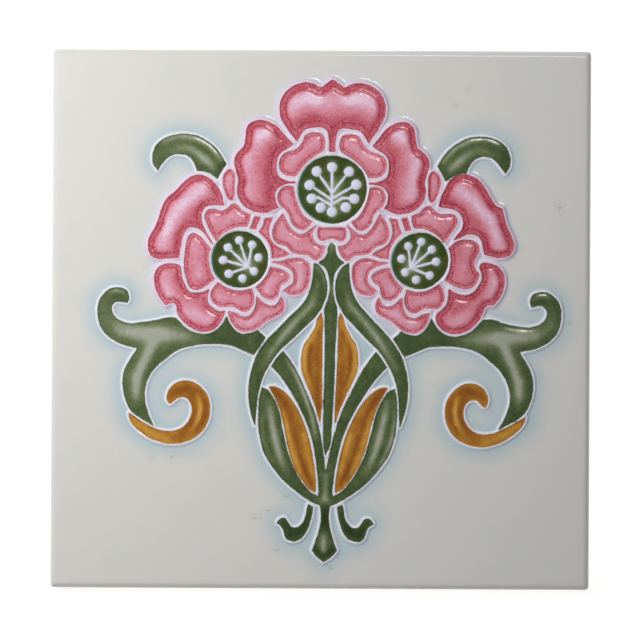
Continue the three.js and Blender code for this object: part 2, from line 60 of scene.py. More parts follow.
# Slab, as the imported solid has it
LOW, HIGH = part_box("tile")
TILE_SIDE = (HIGH.x - LOW.x) / MM
LINE_HEIGHT = 1.1
FIELD_HEIGHT = HIGH.z / MM - LINE_HEIGHT
FACE_EDGE_RADIUS = 1.8
FACE_EDGE_STEPS = 8
CORNER_RADIUS = 1.2
CORNER_STEPS = 5
LEAST_CORNER_RADIUS = 0.12
BACK_CHAMFER = 0.6
RIM_WIDTH = 9
KEY_DEPTH = 1
KEY_DRAFT = 0.5
RIB_COUNT = 7
RIB_WIDTH = 5

# Raised lines: each starts at a share of its crest where the pool ends, has its crest CREST_GAP out and
# runs out LINE_FOOT past its width. CREST_SHARES are shares of LINE_HEIGHT.
PETAL_LINE_WIDTH = 1.1
LEAF_LINE_WIDTH = 0.85
LINE_START = 0.75
CREST_GAP = 0.4
CREST_SHARES = {ROSE: 0.62, LEAF: 0.42, OCHRE: 0.42, CENTRE: 0.55}
LINE_FOOT = 0.2

# Pools, over the field: the glaze creeps up the line, crowns in the middle and lies thick in streaks.
# A rose pool has a moat along its rim and then a shoulder, both shares of the pool's reach.
POOL_HEIGHT = 0.3
MENISCUS = 0.12
CUSHION_LIFT = {ROSE: 0.1, LEAF: 0.24, OCHRE: 0.2, CENTRE: 0}
CUSHION_REACH = 1.5
MOAT_SHARE = 0.25
MOAT_WIDTHS = [0.35, 1.5]
SHOULDER_RISE = 0.16
SHOULDER_SHARE = 0.24
SHOULDER_WIDTHS = [0.4, 1.4]
STREAK_LIFT = 0.15
LIFT_INSET = 1
FIELD_WAVE = 0.025

# Flower centres
MIDDLE_DISC_RADIUS = 9.7
SIDE_DISC_RADIUS = 8.05
MIDDLE_STAMEN_RADIUS = 1.4
SIDE_STAMEN_RADIUS = 1.15
STEM_WIDTH = 0.62
HEAD_LIFT = 0.5
HEAD_FLATNESS = 4
STEM_LIFT = 0.28

# Place of the ornament on the face
FIELD_MARGIN = 11.1
ORNAMENT_SHIFT = [2.2, -0.25]
ORNAMENT_TILT = math.radians(-0.75)
ORNAMENT_SLANT = math.radians(0.39)

# The hand-cut ornament mirrors about a line that bows to the right in its middle
AXIS_BOW = 0.7
BOW_MIDDLE = 3
BOW_REACH = 32
BOW_SPREAD = 16
SIDE_SHIFT = 0.25
ON_AXIS = 0.35

# Where the hand-cut ornament isn't even: [x, y, how far right it lies, how far up, reach]
UNEVEN_PLACES = [
    [26, 14, -0.75, 0.2, 13],
    [12.7, 44.9, 0.8, -0.35, 6],
    [5.4, 51.6, 0.35, -0.5, 5],
    [24.2, 52.5, -1.0, -0.45, 5],
    [47.5, 14.5, -0.5, 0.8, 6],
    [46.7, 4.6, 0.3, 0.9, 5],
    [48.7, -14.1, -0.55, 0.25, 9],
    [50.5, -33.2, -0.8, 0, 7],
    [49.0, 48.7, -0.5, 0.3, 8],
    [33.3, 6.4, -1.0, 0, 4],
    [34.9, 30.0, 0.1, -0.7, 4],
    [-49.5, 27.5, 0.35, 0.2, 9],
]

# Outlines of the coloured pools, [x, y] in millimetres on the ornament's own axis, y up.
# A curve runs through the points and breaks at those marked SHARP. A HALF outline closes across
# the axis, a PAIR has a mirrored twin on the right, and a LONE one stands as it is.
SHARP = "sharp"
HALF = "half"
PAIR = "pair"
LONE = "lone"

PETALS = [
    # Middle flower: top petal, then outer and inner petals from the top down
    [HALF, [
        [0, 67.8], [-1.6, 66.7], [-3.4, 65.6], [-5.0, 66.4], [-7.6, 66.9], [-10.8, 66.0], [-13.1, 64.2],
        [-14.5, 61.4], [-14.5, 58.0], [-13.3, 55.3], [-9.8, 50.6, SHARP], [-9.0, 52.2], [-7.5, 54.0],
        [-5.5, 54.5], [-2.6, 54.6], [-1.3, 53.7], [-0.6, 51.0], [-0.55, 47.9, SHARP],
    ]],
    [PAIR, [
        [-11.0, 49.6, SHARP], [-13.3, 52.0], [-15.6, 54.4], [-18.9, 56.0], [-21.5, 56.0], [-23.7, 54.4],
        [-24.1, 51.5], [-24.6, 48.9], [-26.4, 46.9], [-27.2, 44.4], [-26.5, 41.6], [-25.9, 39.2],
        [-26.2, 36.8], [-25.8, 34.3], [-23.9, 31.9], [-21.5, 30.7], [-18.5, 30.3], [-14.85, 31.7, SHARP],
        [-15.7, 33.5], [-15.8, 35.8], [-14.7, 37.45], [-12.9, 38.4], [-10.1, 38.8, SHARP], [-12.7, 39.2],
        [-15.0, 40.6], [-15.55, 43.5], [-15.1, 46.2], [-14.0, 47.6], [-12.6, 48.4],
    ]],
    [PAIR, [
        [-13.4, 29.9, SHARP], [-14.9, 27.9], [-16.0, 25.3], [-15.9, 23.4], [-15.0, 21.9], [-12.1, 20.8],
        [-10.6, 19.3], [-8.7, 18.7], [-6.0, 18.4], [-4.8, 17.5], [-3.8, 17.0], [-2.6, 17.8],
        [-1.7, 19.4], [-1.3, 20.75, SHARP], [-2.8, 21.0], [-4.4, 22.2], [-5.0, 23.8], [-4.8, 25.4],
        [-3.85, 26.7, SHARP], [-5.4, 25.5], [-7.0, 24.3], [-8.9, 24.1], [-10.7, 25.3], [-12.0, 27.2],
    ]],
    [PAIR, [
        [-9.8, 40.8, SHARP], [-7.8, 43.8], [-5.0, 46.3], [-2.4, 47.95, SHARP], [-2.0, 49.2], [-2.1, 50.8],
        [-2.7, 52.3], [-4.2, 52.85], [-6.1, 52.7], [-7.3, 52.0], [-8.0, 50.4], [-8.9, 49.0],
        [-10.5, 47.8], [-12.6, 47.1], [-13.9, 46.0], [-14.5, 43.6], [-13.6, 41.65], [-11.9, 40.8],
    ]],
    [PAIR, [
        [-10.5, 37.4, SHARP], [-12.1, 37.6], [-13.8, 36.9], [-14.8, 34.9], [-14.2, 32.7], [-12.4, 31.0],
        [-11.4, 29.5], [-10.8, 27.6], [-9.5, 26.2], [-8.0, 25.5], [-6.6, 26.0], [-5.25, 27.7, SHARP],
        [-7.0, 28.8], [-8.4, 30.6], [-9.6, 33.2], [-10.3, 35.8],
    ]],
    [HALF, [
        [0.6, 26.05], [-1.7, 26.0], [-3.1, 26.1, SHARP], [-3.35, 25.0], [-3.35, 23.9], [-2.9, 22.9],
        [-2.0, 22.5], [-0.9, 22.9], [0.7, 23.2],
    ]],
    # Side flower: outer petals anticlockwise from the top
    [LONE, [
        [-30.2, 32.3, SHARP], [-30.8, 34.7], [-32.0, 37.1], [-33.9, 39.2], [-36.4, 40.4], [-39.2, 40.1],
        [-41.3, 38.5], [-43.9, 35.7], [-46.5, 33.4], [-48.0, 30.2], [-49.2, 26.3], [-51.0, 22.8],
        [-51.3, 20.0], [-50.2, 17.6], [-48.1, 16.9], [-45.0, 17.15], [-42.6, 17.35, SHARP],
        [-42.5, 19.3], [-42.0, 22.1], [-41.2, 24.4], [-39.7, 25.9], [-38.0, 25.9], [-35.9, 24.7],
        [-33.1, 21.2, SHARP], [-35.2, 24.6], [-36.4, 27.4], [-36.4, 30.0], [-35.3, 31.7], [-33.2, 32.3],
    ]],
    [LONE, [
        [44.3, 18.7, SHARP], [47.9, 17.7], [50.5, 18.3], [51.9, 20.2], [51.8, 22.5], [50.7, 25.2],
        [49.5, 27.9], [48.9, 30.2], [48.4, 32.0, SHARP], [46.7, 32.7], [45.2, 34.8], [43.8, 37.3],
        [42.1, 39.4], [40.1, 40.8], [37.7, 41.5], [35.4, 41.0], [33.7, 39.6], [32.4, 37.3],
        [31.2, 34.3], [30.8, 32.6, SHARP], [33.6, 32.5], [35.8, 31.9], [37.3, 30.2], [37.8, 27.9],
        [37.3, 25.9], [35.4, 23.1, SHARP], [39.4, 24.9], [41.8, 24.4], [43.2, 22.7], [43.7, 20.6],
    ]],
    [LONE, [
        [-42.2, 14.6], [-43.3, 15.25], [-46.0, 15.25], [-48.2, 14.25], [-49.2, 12.0], [-49.0, 9.3],
        [-48.0, 6.6], [-46.6, 4.7], [-45.8, 3.85, SHARP], [-44.8, 4.45], [-43.6, 4.5], [-42.8, 3.4],
        [-42.5, 1.6], [-41.2, -0.3], [-39.0, -2.2], [-36.6, -3.3], [-34.0, -3.4], [-31.8, -2.3],
        [-30.2, -0.2], [-29.3, 2.2, SHARP], [-30.7, 2.0], [-32.5, 2.8], [-34.0, 4.3], [-34.4, 6.3],
        [-33.9, 8.2, SHARP], [-35.4, 7.4], [-37.6, 7.15], [-39.4, 7.4], [-40.6, 9.1], [-41.8, 12.0],
    ]],
    [LONE, [
        [31.0, 1.6], [31.0, -0.1], [32.1, -1.9], [34.1, -3.1], [36.4, -3.3], [39.2, -2.5],
        [41.5, -0.8], [42.9, 1.1], [43.6, 2.9], [44.4, 4.0, SHARP], [46.4, 4.0, SHARP], [47.9, 5.9],
        [49.2, 8.5], [49.7, 10.9], [49.4, 13.1], [48.0, 14.7], [46.0, 15.6], [43.5, 15.9], [43.0, 14.9],
        [43.6, 13.4], [43.7, 11.7], [42.8, 9.9], [41.2, 8.1], [39.0, 7.2], [36.7, 7.7],
        [34.9, 8.9, SHARP], [35.1, 6.8], [34.4, 4.5], [32.9, 3.1],
    ]],
    [PAIR, [
        [-28.1, 2.1, SHARP], [-27.9, 1.0], [-27.2, -0.7], [-25.8, -2.4], [-24.0, -3.3], [-21.6, -3.0],
        [-19.4, -1.9], [-17.4, -0.2], [-15.3, 0.8], [-13.3, 2.0], [-12.5, 3.5], [-12.7, 5.0],
        [-13.4, 6.3, SHARP], [-14.1, 4.9], [-15.2, 3.95], [-17.0, 3.95], [-18.9, 5.0],
        [-20.3, 6.3, SHARP], [-20.4, 4.2], [-21.0, 2.3], [-22.4, 0.85], [-24.3, 0.65], [-26.2, 1.6],
    ]],
    [PAIR, [
        [-16.0, 16.2, SHARP], [-12.3, 15.2], [-10.5, 13.9], [-9.8, 12.0], [-10.2, 10.2], [-11.6, 9.1],
        [-12.75, 8.2, SHARP], [-11.0, 7.25], [-8.8, 7.35], [-6.8, 8.5], [-6.0, 10.0], [-5.5, 12.4],
        [-5.6, 15.2], [-7.0, 16.8], [-9.0, 17.3], [-11.2, 17.1], [-13.5, 16.4],
    ]],
    [PAIR, [
        [-18.4, 28.5, SHARP], [-18.8, 26.7], [-19.8, 24.8, SHARP], [-17.5, 22.3], [-16.4, 19.9],
        [-16.1, 17.45, SHARP], [-14.0, 17.7], [-11.4, 18.5, SHARP], [-12.6, 19.4], [-15.0, 20.6],
        [-16.6, 22.2], [-17.3, 24.4], [-17.1, 26.7], [-16.3, 28.8, SHARP],
    ]],
    # Side flower: inner petals anticlockwise from the top
    [PAIR, [
        [-32.0, 22.25, SHARP], [-30.9, 23.6], [-28.6, 25.3], [-25.7, 26.3], [-23.6, 26.3, SHARP],
        [-22.9, 27.7], [-22.75, 29.5, SHARP], [-25.0, 30.6], [-26.1, 31.9], [-27.5, 32.4], [-29.2, 31.0],
        [-30.6, 30.4], [-32.7, 30.8], [-34.3, 30.65], [-35.3, 29.2], [-34.7, 27.0], [-33.1, 24.0],
    ]],
    [LONE, [
        [-33.8, 19.8, SHARP], [-34.9, 21.2], [-36.6, 22.9], [-38.5, 24.0], [-39.9, 23.1], [-40.6, 20.0],
        [-40.9, 17.0], [-40.8, 14.0], [-40.0, 11.0], [-39.1, 9.0], [-37.6, 8.35], [-36.0, 8.7],
        [-34.0, 10.0], [-32.5, 11.25, SHARP], [-33.5, 13.1], [-34.1, 15.5], [-34.3, 17.9],
    ]],
    [LONE, [
        [34.9, 16.6], [34.5, 13.9], [33.6, 11.5, SHARP], [36.0, 10.2], [38.2, 9.3], [40.2, 9.5],
        [41.9, 10.9], [42.6, 12.8], [41.6, 14.2], [41.1, 15.8], [41.4, 17.7], [42.3, 19.6],
        [42.0, 21.5], [40.5, 22.7], [38.2, 22.9], [36.1, 22.3], [34.2, 20.6, SHARP], [34.8, 18.8],
    ]],
    [PAIR, [
        [-31.3, 10.2, SHARP], [-32.6, 8.6], [-33.2, 6.7], [-32.6, 5.0], [-31.0, 3.7], [-29.2, 3.6],
        [-27.5, 3.85], [-25.8, 3.15], [-24.0, 2.25], [-22.3, 2.9], [-21.3, 4.6], [-21.2, 6.4],
        [-21.85, 8.5, SHARP], [-24.3, 7.9], [-27.0, 8.05], [-29.6, 9.0],
    ]],
    [PAIR, [
        [-20.4, 9.1, SHARP], [-19.4, 7.5], [-17.8, 6.2], [-16.0, 5.75], [-14.6, 6.6], [-14.1, 8.0],
        [-13.7, 9.7], [-12.1, 10.7], [-11.3, 12.2], [-12.4, 13.5], [-14.3, 14.25], [-16.5, 14.7, SHARP],
        [-17.5, 12.4], [-18.7, 10.7],
    ]],
    # Sliver between the inner petals, and the bud above the side flower
    [PAIR, [[-21.2, 29.0, SHARP], [-22.4, 25.7, SHARP], [-21.0, 25.5, SHARP], [-19.8, 28.8, SHARP]]],
    [PAIR, [
        [-28.5, 42.2], [-29.9, 41.1], [-30.4, 39.0], [-29.9, 36.7], [-28.9, 34.3], [-28.0, 33.6],
        [-27.3, 35.2], [-27.3, 38.0], [-27.2, 40.2], [-27.7, 41.6],
    ]],
]

LEAVES = [
    # Hooked leaf above the side flower
    [PAIR, [
        [-49.0, 41.9, SHARP], [-47.4, 44.2], [-45.2, 46.1], [-42.5, 46.5], [-40.2, 45.8], [-38.6, 44.0],
        [-37.8, 41.9, SHARP], [-35.5, 41.6], [-33.6, 40.8], [-32.0, 39.6, SHARP], [-30.9, 41.9],
        [-29.6, 43.8, SHARP], [-32.0, 47.5], [-35.0, 50.1], [-38.3, 51.7], [-42.0, 52.1], [-46.0, 51.4],
        [-49.2, 49.2], [-50.4, 46.4], [-50.2, 43.6],
    ]],
    # Scrolled leaf under the side flower
    [PAIR, [
        [-56.9, 4.3, SHARP], [-56.4, 5.8], [-57.0, 7.6], [-59.0, 8.5], [-61.4, 8.3], [-63.2, 7.05],
        [-64.6, 5.2], [-65.1, 2.5], [-64.9, -0.6], [-63.9, -3.1], [-61.6, -5.6], [-57.9, -7.5],
        [-53.7, -8.5, SHARP], [-55.6, -11.5], [-57.3, -14.8], [-57.7, -18.8], [-56.9, -22.8],
        [-55.3, -26.0], [-52.6, -28.1], [-48.9, -30.3, SHARP], [-50.4, -26.9], [-51.5, -22.5],
        [-51.1, -18.3], [-49.2, -14.5], [-46.5, -11.9], [-42.2, -8.8], [-37.5, -7.4], [-32.7, -7.0],
        [-27.6, -7.35], [-24.0, -8.8], [-20.9, -10.05, SHARP], [-19.4, -7.8], [-17.7, -5.1, SHARP],
        [-18.9, -4.0], [-19.9, -3.1, SHARP], [-21.8, -3.9], [-24.35, -4.25], [-26.3, -3.2],
        [-27.7, -1.4], [-28.75, 0.6, SHARP], [-29.9, -1.6], [-31.6, -3.3], [-34.2, -4.4], [-37.1, -4.15],
        [-40.0, -2.9], [-41.8, -1.15], [-43.2, 0.15, SHARP], [-45.3, 0.2], [-49.0, -0.65], [-53.0, -1.3],
        [-56.5, -1.5], [-59.4, -0.5], [-61.0, 1.3], [-61.2, 3.3], [-60.0, 4.6], [-58.5, 4.65],
    ]],
    # Curved stem of the side flower, and the straight middle stem
    [PAIR, [
        [-4.3, 16.0, SHARP], [-4.4, 13.3], [-4.75, 10.3], [-5.6, 7.5], [-7.4, 4.4], [-10.4, 1.3],
        [-13.6, -2.0], [-17.0, -5.7], [-19.6, -9.4], [-21.3, -13.9], [-22.1, -19.0], [-21.9, -23.4],
        [-21.1, -27.2], [-20.2, -30.0, SHARP], [-19.9, -25.5], [-19.4, -20.7], [-18.4, -16.7],
        [-16.5, -12.8], [-13.6, -8.7], [-9.8, -5.1], [-6.0, -1.4], [-3.4, 1.4], [-1.6, 4.4],
        [-0.6, 7.6], [-0.7, 11.0], [-1.8, 14.0], [-3.2, 15.6],
    ]],
    [HALF, [
        [0.5, 21.9], [-0.2, 21.0], [-0.5, 19.0], [-1.2, 17.5], [-2.9, 16.25, SHARP], [-1.3, 15.0],
        [-0.2, 13.2], [0.3, 10.8], [0.35, 8.2], [-0.2, 5.6], [-1.0, 3.4], [-1.0, 0.5], [-0.75, -5.0],
        [-0.75, -20.0], [-0.8, -31.0], [-0.6, -35.2], [-0.1, -38.2, SHARP],
    ]],
    # Leaves that rise from the foot, with the foot's own point, and the hook beside it
    [HALF, [
        [0, -43.1, SHARP], [-0.9, -37.0], [-1.9, -31.7], [-3.5, -26.0], [-5.9, -20.4], [-8.8, -14.3],
        [-11.0, -11.0], [-12.6, -8.9, SHARP], [-14.3, -10.9], [-15.75, -13.2, SHARP], [-13.0, -16.2],
        [-10.2, -20.2], [-7.7, -24.4], [-5.4, -29.3], [-3.8, -34.0], [-2.7, -39.5], [-2.0, -45.0],
        [-1.75, -48.5], [-2.0, -49.9, SHARP], [-4.2, -48.6], [-6.8, -45.7], [-9.4, -41.0],
        [-11.1, -36.5], [-12.4, -31.0], [-13.6, -25.5], [-15.3, -21.9], [-16.9, -19.9],
        [-18.3, -19.3, SHARP], [-19.0, -22.3], [-19.2, -27.0], [-18.8, -32.8], [-17.2, -38.0],
        [-14.2, -42.6], [-10.7, -46.4], [-7.0, -49.3], [-3.3, -51.6], [-1.3, -52.5, SHARP],
        [-0.95, -55.0], [-1.3, -58.4], [-2.1, -61.4], [-3.4, -65.0, SHARP], [-2.2, -66.6],
        [-0.1, -68.3, SHARP],
    ]],
    [PAIR, [
        [-4.7, -52.2, SHARP], [-5.0, -53.4], [-5.3, -55.2], [-6.2, -57.3], [-7.6, -58.6], [-9.2, -58.6],
        [-10.3, -57.4], [-11.2, -56.1], [-12.4, -56.2], [-13.4, -57.5], [-12.4, -58.1], [-11.5, -59.4],
        [-11.0, -61.3], [-9.8, -62.4], [-8.0, -62.4], [-6.3, -61.4], [-5.0, -59.4], [-4.1, -56.8],
        [-3.6, -54.6], [-3.4, -52.8, SHARP],
    ]],
]

BUDS = [
    # Ochre tip that the scroll runs into
    [PAIR, [
        [-55.9, -26.9, SHARP], [-55.3, -29.0], [-52.9, -31.8], [-49.2, -34.1], [-44.6, -35.25],
        [-40.5, -35.0], [-36.8, -33.3], [-34.2, -30.4], [-33.0, -26.6], [-33.4, -22.7], [-35.3, -19.7],
        [-38.0, -17.9], [-41.2, -17.7], [-43.7, -19.0], [-44.9, -20.9], [-45.1, -22.9], [-44.4, -24.1],
        [-43.4, -23.5], [-42.0, -22.3], [-40.3, -22.2], [-38.7, -23.4], [-38.0, -25.8], [-38.7, -28.5],
        [-40.8, -30.9], [-44.0, -31.9], [-48.1, -31.3], [-51.8, -29.5],
    ]],
    # Inner and outer ochre buds
    [PAIR, [
        [-2.1, 1.95, SHARP], [-3.0, 0.2], [-3.6, -2.0], [-5.2, -4.8], [-6.7, -7.2], [-7.35, -10.6],
        [-7.2, -14.0], [-6.1, -17.2], [-4.4, -21.1], [-2.9, -25.1], [-1.8, -29.0, SHARP], [-1.5, -24.0],
        [-1.55, -14.0], [-1.6, -5.0], [-1.6, 0.4],
    ]],
    [PAIR, [
        [-16.3, -19.0, SHARP], [-15.0, -21.4], [-13.5, -24.4], [-12.4, -28.0], [-11.5, -32.0],
        [-10.4, -37.0], [-8.9, -41.2], [-6.7, -45.0], [-4.2, -47.9], [-2.8, -48.7, SHARP],
        [-2.75, -46.0], [-3.3, -41.5], [-4.1, -36.8], [-5.4, -31.9], [-7.1, -27.6], [-9.2, -23.8],
        [-12.0, -20.5], [-14.5, -19.05],
    ]],
]


# Brush and relief streaks inside the pools: [span, reach, [[x, y, weight], ...]]. Over zero the glaze
# lies thin on a high place and is pale, under zero it lies deep and is dark; the leaves' streaks named
# below as painted sheen or highlight are pale for the light. A streak stays in the pool that its first
# point is in.
PETAL_STREAKS = [
    # Middle flower
    [PAIR, 2.3, [[-12.4, 59.2, 0.5], [-10.8, 61.4, 0.9], [-7.8, 62.5, 0.95], [-4.6, 62.2, 0.65]]],
    [LONE, 2.4, [[-4.6, 62.0, 0.35], [0.5, 62.2, 0.4], [5.0, 62.2, 0.35]]],
    [LONE, 1.7, [[-9.5, 55.8, -0.4], [-5.0, 56.9, -0.6], [0.4, 56.3, -0.5], [6.0, 57.0, -0.6],
                 [10.0, 55.8, -0.4]]],
    [PAIR, 2.0, [[-18.4, 53.0, 1.0], [-20.6, 51.6, 0.85], [-21.7, 48.6, 0.3], [-23.6, 45.6, 0.55],
                 [-23.6, 41.0, 0.4], [-23.3, 36.5, 0.45], [-22.0, 33.5, 0.15]]],
    [LONE, 1.9, [[-13.8, 50.9, -0.35], [-17.0, 48.0, -0.45], [-17.6, 43.5, -0.6], [-17.6, 37.5, -0.6],
                 [-18.0, 32.5, -0.3]]],
    [LONE, 1.6, [[15.0, 50.6, -0.35], [17.6, 47.6, -0.4], [17.6, 43.5, -0.5], [17.2, 37.5, -0.5],
                 [18.4, 32.5, -0.3]]],
    [LONE, 2.0, [[23.8, 46.5, 0.2], [23.8, 42.5, 0.3], [22.4, 39.0, 0.45], [21.8, 35.5, 0.4]]],
    [PAIR, 1.5, [[-13.7, 26.6, 0.3], [-12.4, 23.6, 0.35], [-9.5, 21.6, 0.3], [-6.0, 20.3, 0.25],
                 [-3.6, 19.2, 0.3]]],
    [PAIR, 1.2, [[-4.0, 50.6, 0.35], [-6.6, 49.2, 0.25], [-9.2, 46.2, 0.3], [-12.2, 43.8, 0.25]]],
    [PAIR, 1.1, [[-12.8, 35.2, 0.2], [-11.6, 31.8, 0.25], [-9.2, 28.0, 0.3]]],
    [LONE, 0.9, [[-1.6, 24.5, 0.25], [0.5, 24.4, 0.3], [2.4, 24.5, 0.25]]],
    # Side flower
    [PAIR, 2.1, [[-36.2, 37.3, 0.8], [-39.5, 34.4, 0.85], [-42.6, 31.3, 0.88], [-44.9, 28.2, 0.8],
                 [-46.4, 24.4, 0.85], [-47.4, 20.9, 0.65]]],
    [PAIR, 1.8, [[-33.0, 34.0, -0.25], [-37.6, 30.0, -0.35], [-40.6, 27.4, -0.35], [-43.4, 23.6, -0.25]]],
    [PAIR, 1.8, [[-46.2, 12.8, 0.3], [-46.4, 10.0, 0.55], [-45.2, 7.2, 0.5], [-42.0, 5.0, 0.1],
                 [-39.6, 2.6, 0.35], [-37.2, 0.8, 0.6], [-34.2, -0.2, 0.45]]],
    [PAIR, 1.4, [[-42.4, 12.5, -0.2], [-41.4, 8.0, -0.25], [-38.0, 5.6, -0.2], [-34.8, 2.2, -0.25]]],
    [PAIR, 1.2, [[-25.4, -0.9, 0.35], [-22.4, -1.0, 0.6], [-20.0, 0.8, 0.4], [-17.4, 2.0, 0.4],
                 [-14.8, 2.9, 0.25]]],
    [PAIR, 1.2, [[-12.2, 15.9, 0.2], [-9.0, 15.0, 0.4], [-7.9, 12.4, 0.5], [-8.8, 9.2, 0.4]]],
    [PAIR, 1.3, [[-33.2, 28.4, 0.3], [-30.4, 27.3, 0.2], [-27.8, 29.3, 0.5], [-25.6, 29.0, 0.35]]],
    [PAIR, 1.3, [[-38.5, 21.4, 0.3], [-38.0, 17.0, 0.15], [-37.0, 12.6, 0.35]]],
    [PAIR, 1.1, [[-30.8, 6.3, 0.5], [-27.4, 5.7, 0.25], [-23.4, 5.0, 0.3]]],
    [PAIR, 1.1, [[-17.4, 8.2, 0.6], [-16.2, 10.8, 0.3], [-14.2, 12.4, 0.15]]],
    [PAIR, 0.9, [[-28.6, 39.6, 0.35], [-28.6, 36.6, 0.2]]],
]
LEAF_STREAKS = [
    # Hooked leaf: the middle, and painted sheen along its upper rim
    [PAIR, 1.2, [[-46.6, 46.4, 0.1], [-43.4, 48.1, 0.35], [-40.2, 48.2, 0.4], [-37.6, 46.8, 0.6],
                 [-35.4, 44.9, 0.8], [-33.6, 43.2, 0.5]]],
    [PAIR, 0.75, [[-47.4, 50.0, 0.3], [-43.0, 51.6, 0.45], [-38.6, 51.0, 0.6], [-34.6, 48.9, 0.7],
                  [-31.2, 45.2, 0.5]]],
    # Scrolled leaf, down its stem, and the paler ground of both
    [PAIR, 4.0, [[-62.5, 1.0, 0.12], [-57.0, -3.0, 0.12], [-50.0, -5.0, 0.1], [-40.0, -5.5, 0.08]]],
    [PAIR, 3.0, [[-52.0, -9.0, 0.1], [-54.5, -17.0, 0.12], [-54.0, -23.0, 0.06]]],
    [PAIR, 2.1, [[-62.2, -1.5, 0.15], [-58.0, -3.6, 0.5], [-52.0, -4.5, 0.75], [-47.2, -4.5, 0.85],
                 [-42.0, -4.9, 0.45], [-37.0, -5.9, 0.1]]],
    [PAIR, 1.35, [[-48.6, -5.6, 0.5], [-50.2, -8.6, 0.75], [-52.0, -12.6, 0.7], [-53.7, -16.8, 0.85],
                 [-54.0, -20.6, 0.65], [-53.8, -23.6, 0.15]]],
    # Curved stem, with a painted highlight along its upper right edge
    [PAIR, 1.0, [[-3.2, 9.5, 0.15], [-4.8, 4.2, 0.5], [-8.8, 0.0, 0.6], [-12.7, -4.6, 0.7],
                 [-15.9, -9.2, 0.5], [-18.4, -13.6, 0.15]]],
    [LONE, 0.4, [[-3.4, 15.1, 0.35], [-1.6, 12.6, 0.4], [-1.1, 9.0, 0.1]]],
    # Middle stem
    [LONE, 1.0, [[0.5, 21.6, 0.45], [0.6, 19.6, 0.1]]],
    [LONE, 0.7, [[0.7, 11.5, 0.1], [0.75, 9.0, 0.3], [0.7, 6.0, 0.1]]],
    # Leaves at the foot
    [PAIR, 1.05, [[-16.4, -23.0, 0.2], [-15.6, -28.0, 0.75], [-14.6, -33.0, 0.85], [-13.1, -38.4, 0.75],
                 [-11.0, -43.4, 0.15]]],
    [PAIR, 0.6, [[-18.4, -27.0, 0.2], [-17.8, -34.0, 0.35], [-15.2, -40.0, 0.2]]],
    # Painted sheen along the upper right edge of the inner leaf on the left
    [LONE, 0.6, [[-11.6, -11.2, 0.35], [-8.9, -15.6, 0.75], [-6.1, -21.8, 0.85], [-4.1, -27.4, 0.75],
                 [-2.9, -33.0, 0.4]]],
    [LONE, 0.85, [[0.1, -43.9, 0.4], [0.1, -47.4, 0.55], [0.0, -50.2, 0.55]]],
    [LONE, 1.2, [[-0.7, -51.0, 0.3], [0.7, -51.0, 0.3]]],
    [LONE, 1.0, [[0.0, -59.5, 0.2], [-0.2, -62.6, 0.75], [-0.2, -64.6, 0.6]]],
    # Deep green of the tail and of the hooks beside it
    [LONE, 1.6, [[0.2, -54.0, -0.35], [0.2, -57.0, -0.38], [0.1, -59.6, -0.25]]],
    [LONE, 0.7, [[-2.4, -64.8, -0.3], [-0.1, -67.0, -0.3], [2.4, -64.8, -0.3]]],
    [PAIR, 1.3, [[-4.8, -55.2, -0.2], [-6.6, -59.6, -0.34], [-9.4, -60.6, -0.34], [-11.2, -57.8, -0.2]]],
    # Painted sheen on the scroll's hook, and along the outer edges on the right
    [PAIR, 0.6, [[-62.2, 7.0, 0.15], [-60.4, 7.7, 0.6], [-58.4, 7.5, 0.5], [-57.4, 6.6, 0.15]]],
    [LONE, 0.6, [[18.9, -22.0, 0.1], [19.3, -28.0, 0.35], [18.4, -34.0, 0.45], [16.4, -39.0, 0.35],
                 [13.4, -43.4, 0.1]]],
]
BUD_STREAKS = [
    # Scroll tip: a light tongue in brown, and a gold outer edge
    [PAIR, 0.62, [[-38.2, -31.4, 0.2], [-36.2, -28.4, 0.65], [-35.6, -25.0, 0.65], [-36.4, -21.6, 0.2]]],
    [PAIR, 1.1, [[-41.0, -32.4, -0.1], [-38.4, -30.0, -0.3], [-37.3, -26.0, -0.3], [-38.6, -22.2, -0.2]]],
    [PAIR, 0.8, [[-36.6, -31.8, -0.1], [-34.4, -28.0, -0.3], [-34.2, -24.0, -0.3], [-35.6, -20.8, -0.1]]],
    [PAIR, 1.1, [[-36.0, -20.6, -0.08], [-39.6, -19.6, -0.34], [-43.6, -21.4, -0.19]]],
    [PAIR, 0.9, [[-54.4, -29.0, 0.3], [-50.0, -32.4, 0.35], [-44.6, -34.4, 0.3]]],
    # Inner bud
    [PAIR, 0.8, [[-2.6, -0.6, 0.25], [-4.6, -4.6, 0.3], [-6.5, -8.0, 0.5], [-6.6, -13.0, 0.45],
                 [-4.9, -18.2, 0.2]]],
    [PAIR, 0.5, [[-4.6, -6.8, -0.26], [-5.3, -10.4, -0.38], [-5.1, -14.6, -0.34], [-3.9, -18.4, -0.19]]],
    [PAIR, 0.8, [[-2.5, -3.6, -0.22], [-2.6, -12.0, -0.08], [-2.8, -19.4, -0.34], [-2.2, -25.0, -0.38]]],
    # Outer bud
    [PAIR, 1.2, [[-15.0, -19.9, -0.45], [-12.4, -22.8, -0.38], [-10.6, -27.4, -0.26],
                 [-8.6, -33.4, -0.11]]],
    [PAIR, 0.7, [[-11.9, -25.8, 0.25], [-10.8, -31.6, 0.4], [-9.6, -37.0, 0.35], [-7.2, -42.8, 0.3]]],
    [PAIR, 0.6, [[-8.6, -33.0, -0.22], [-7.4, -38.0, -0.34], [-5.6, -43.0, -0.45], [-3.9, -46.4, -0.3]]],
    [PAIR, 0.6, [[-6.4, -32.4, 0.4], [-5.2, -37.4, 0.3], [-4.0, -42.6, 0.25]]],
]
DISC_STREAKS = [
    [LONE, 2.8, [[0.8, 33.4, 0.65], [0.8, 38.0, 0.45]]],
    [PAIR, 2.3, [[-23.2, 15.4, 0.65], [-25.0, 17.2, 0.4]]],
]

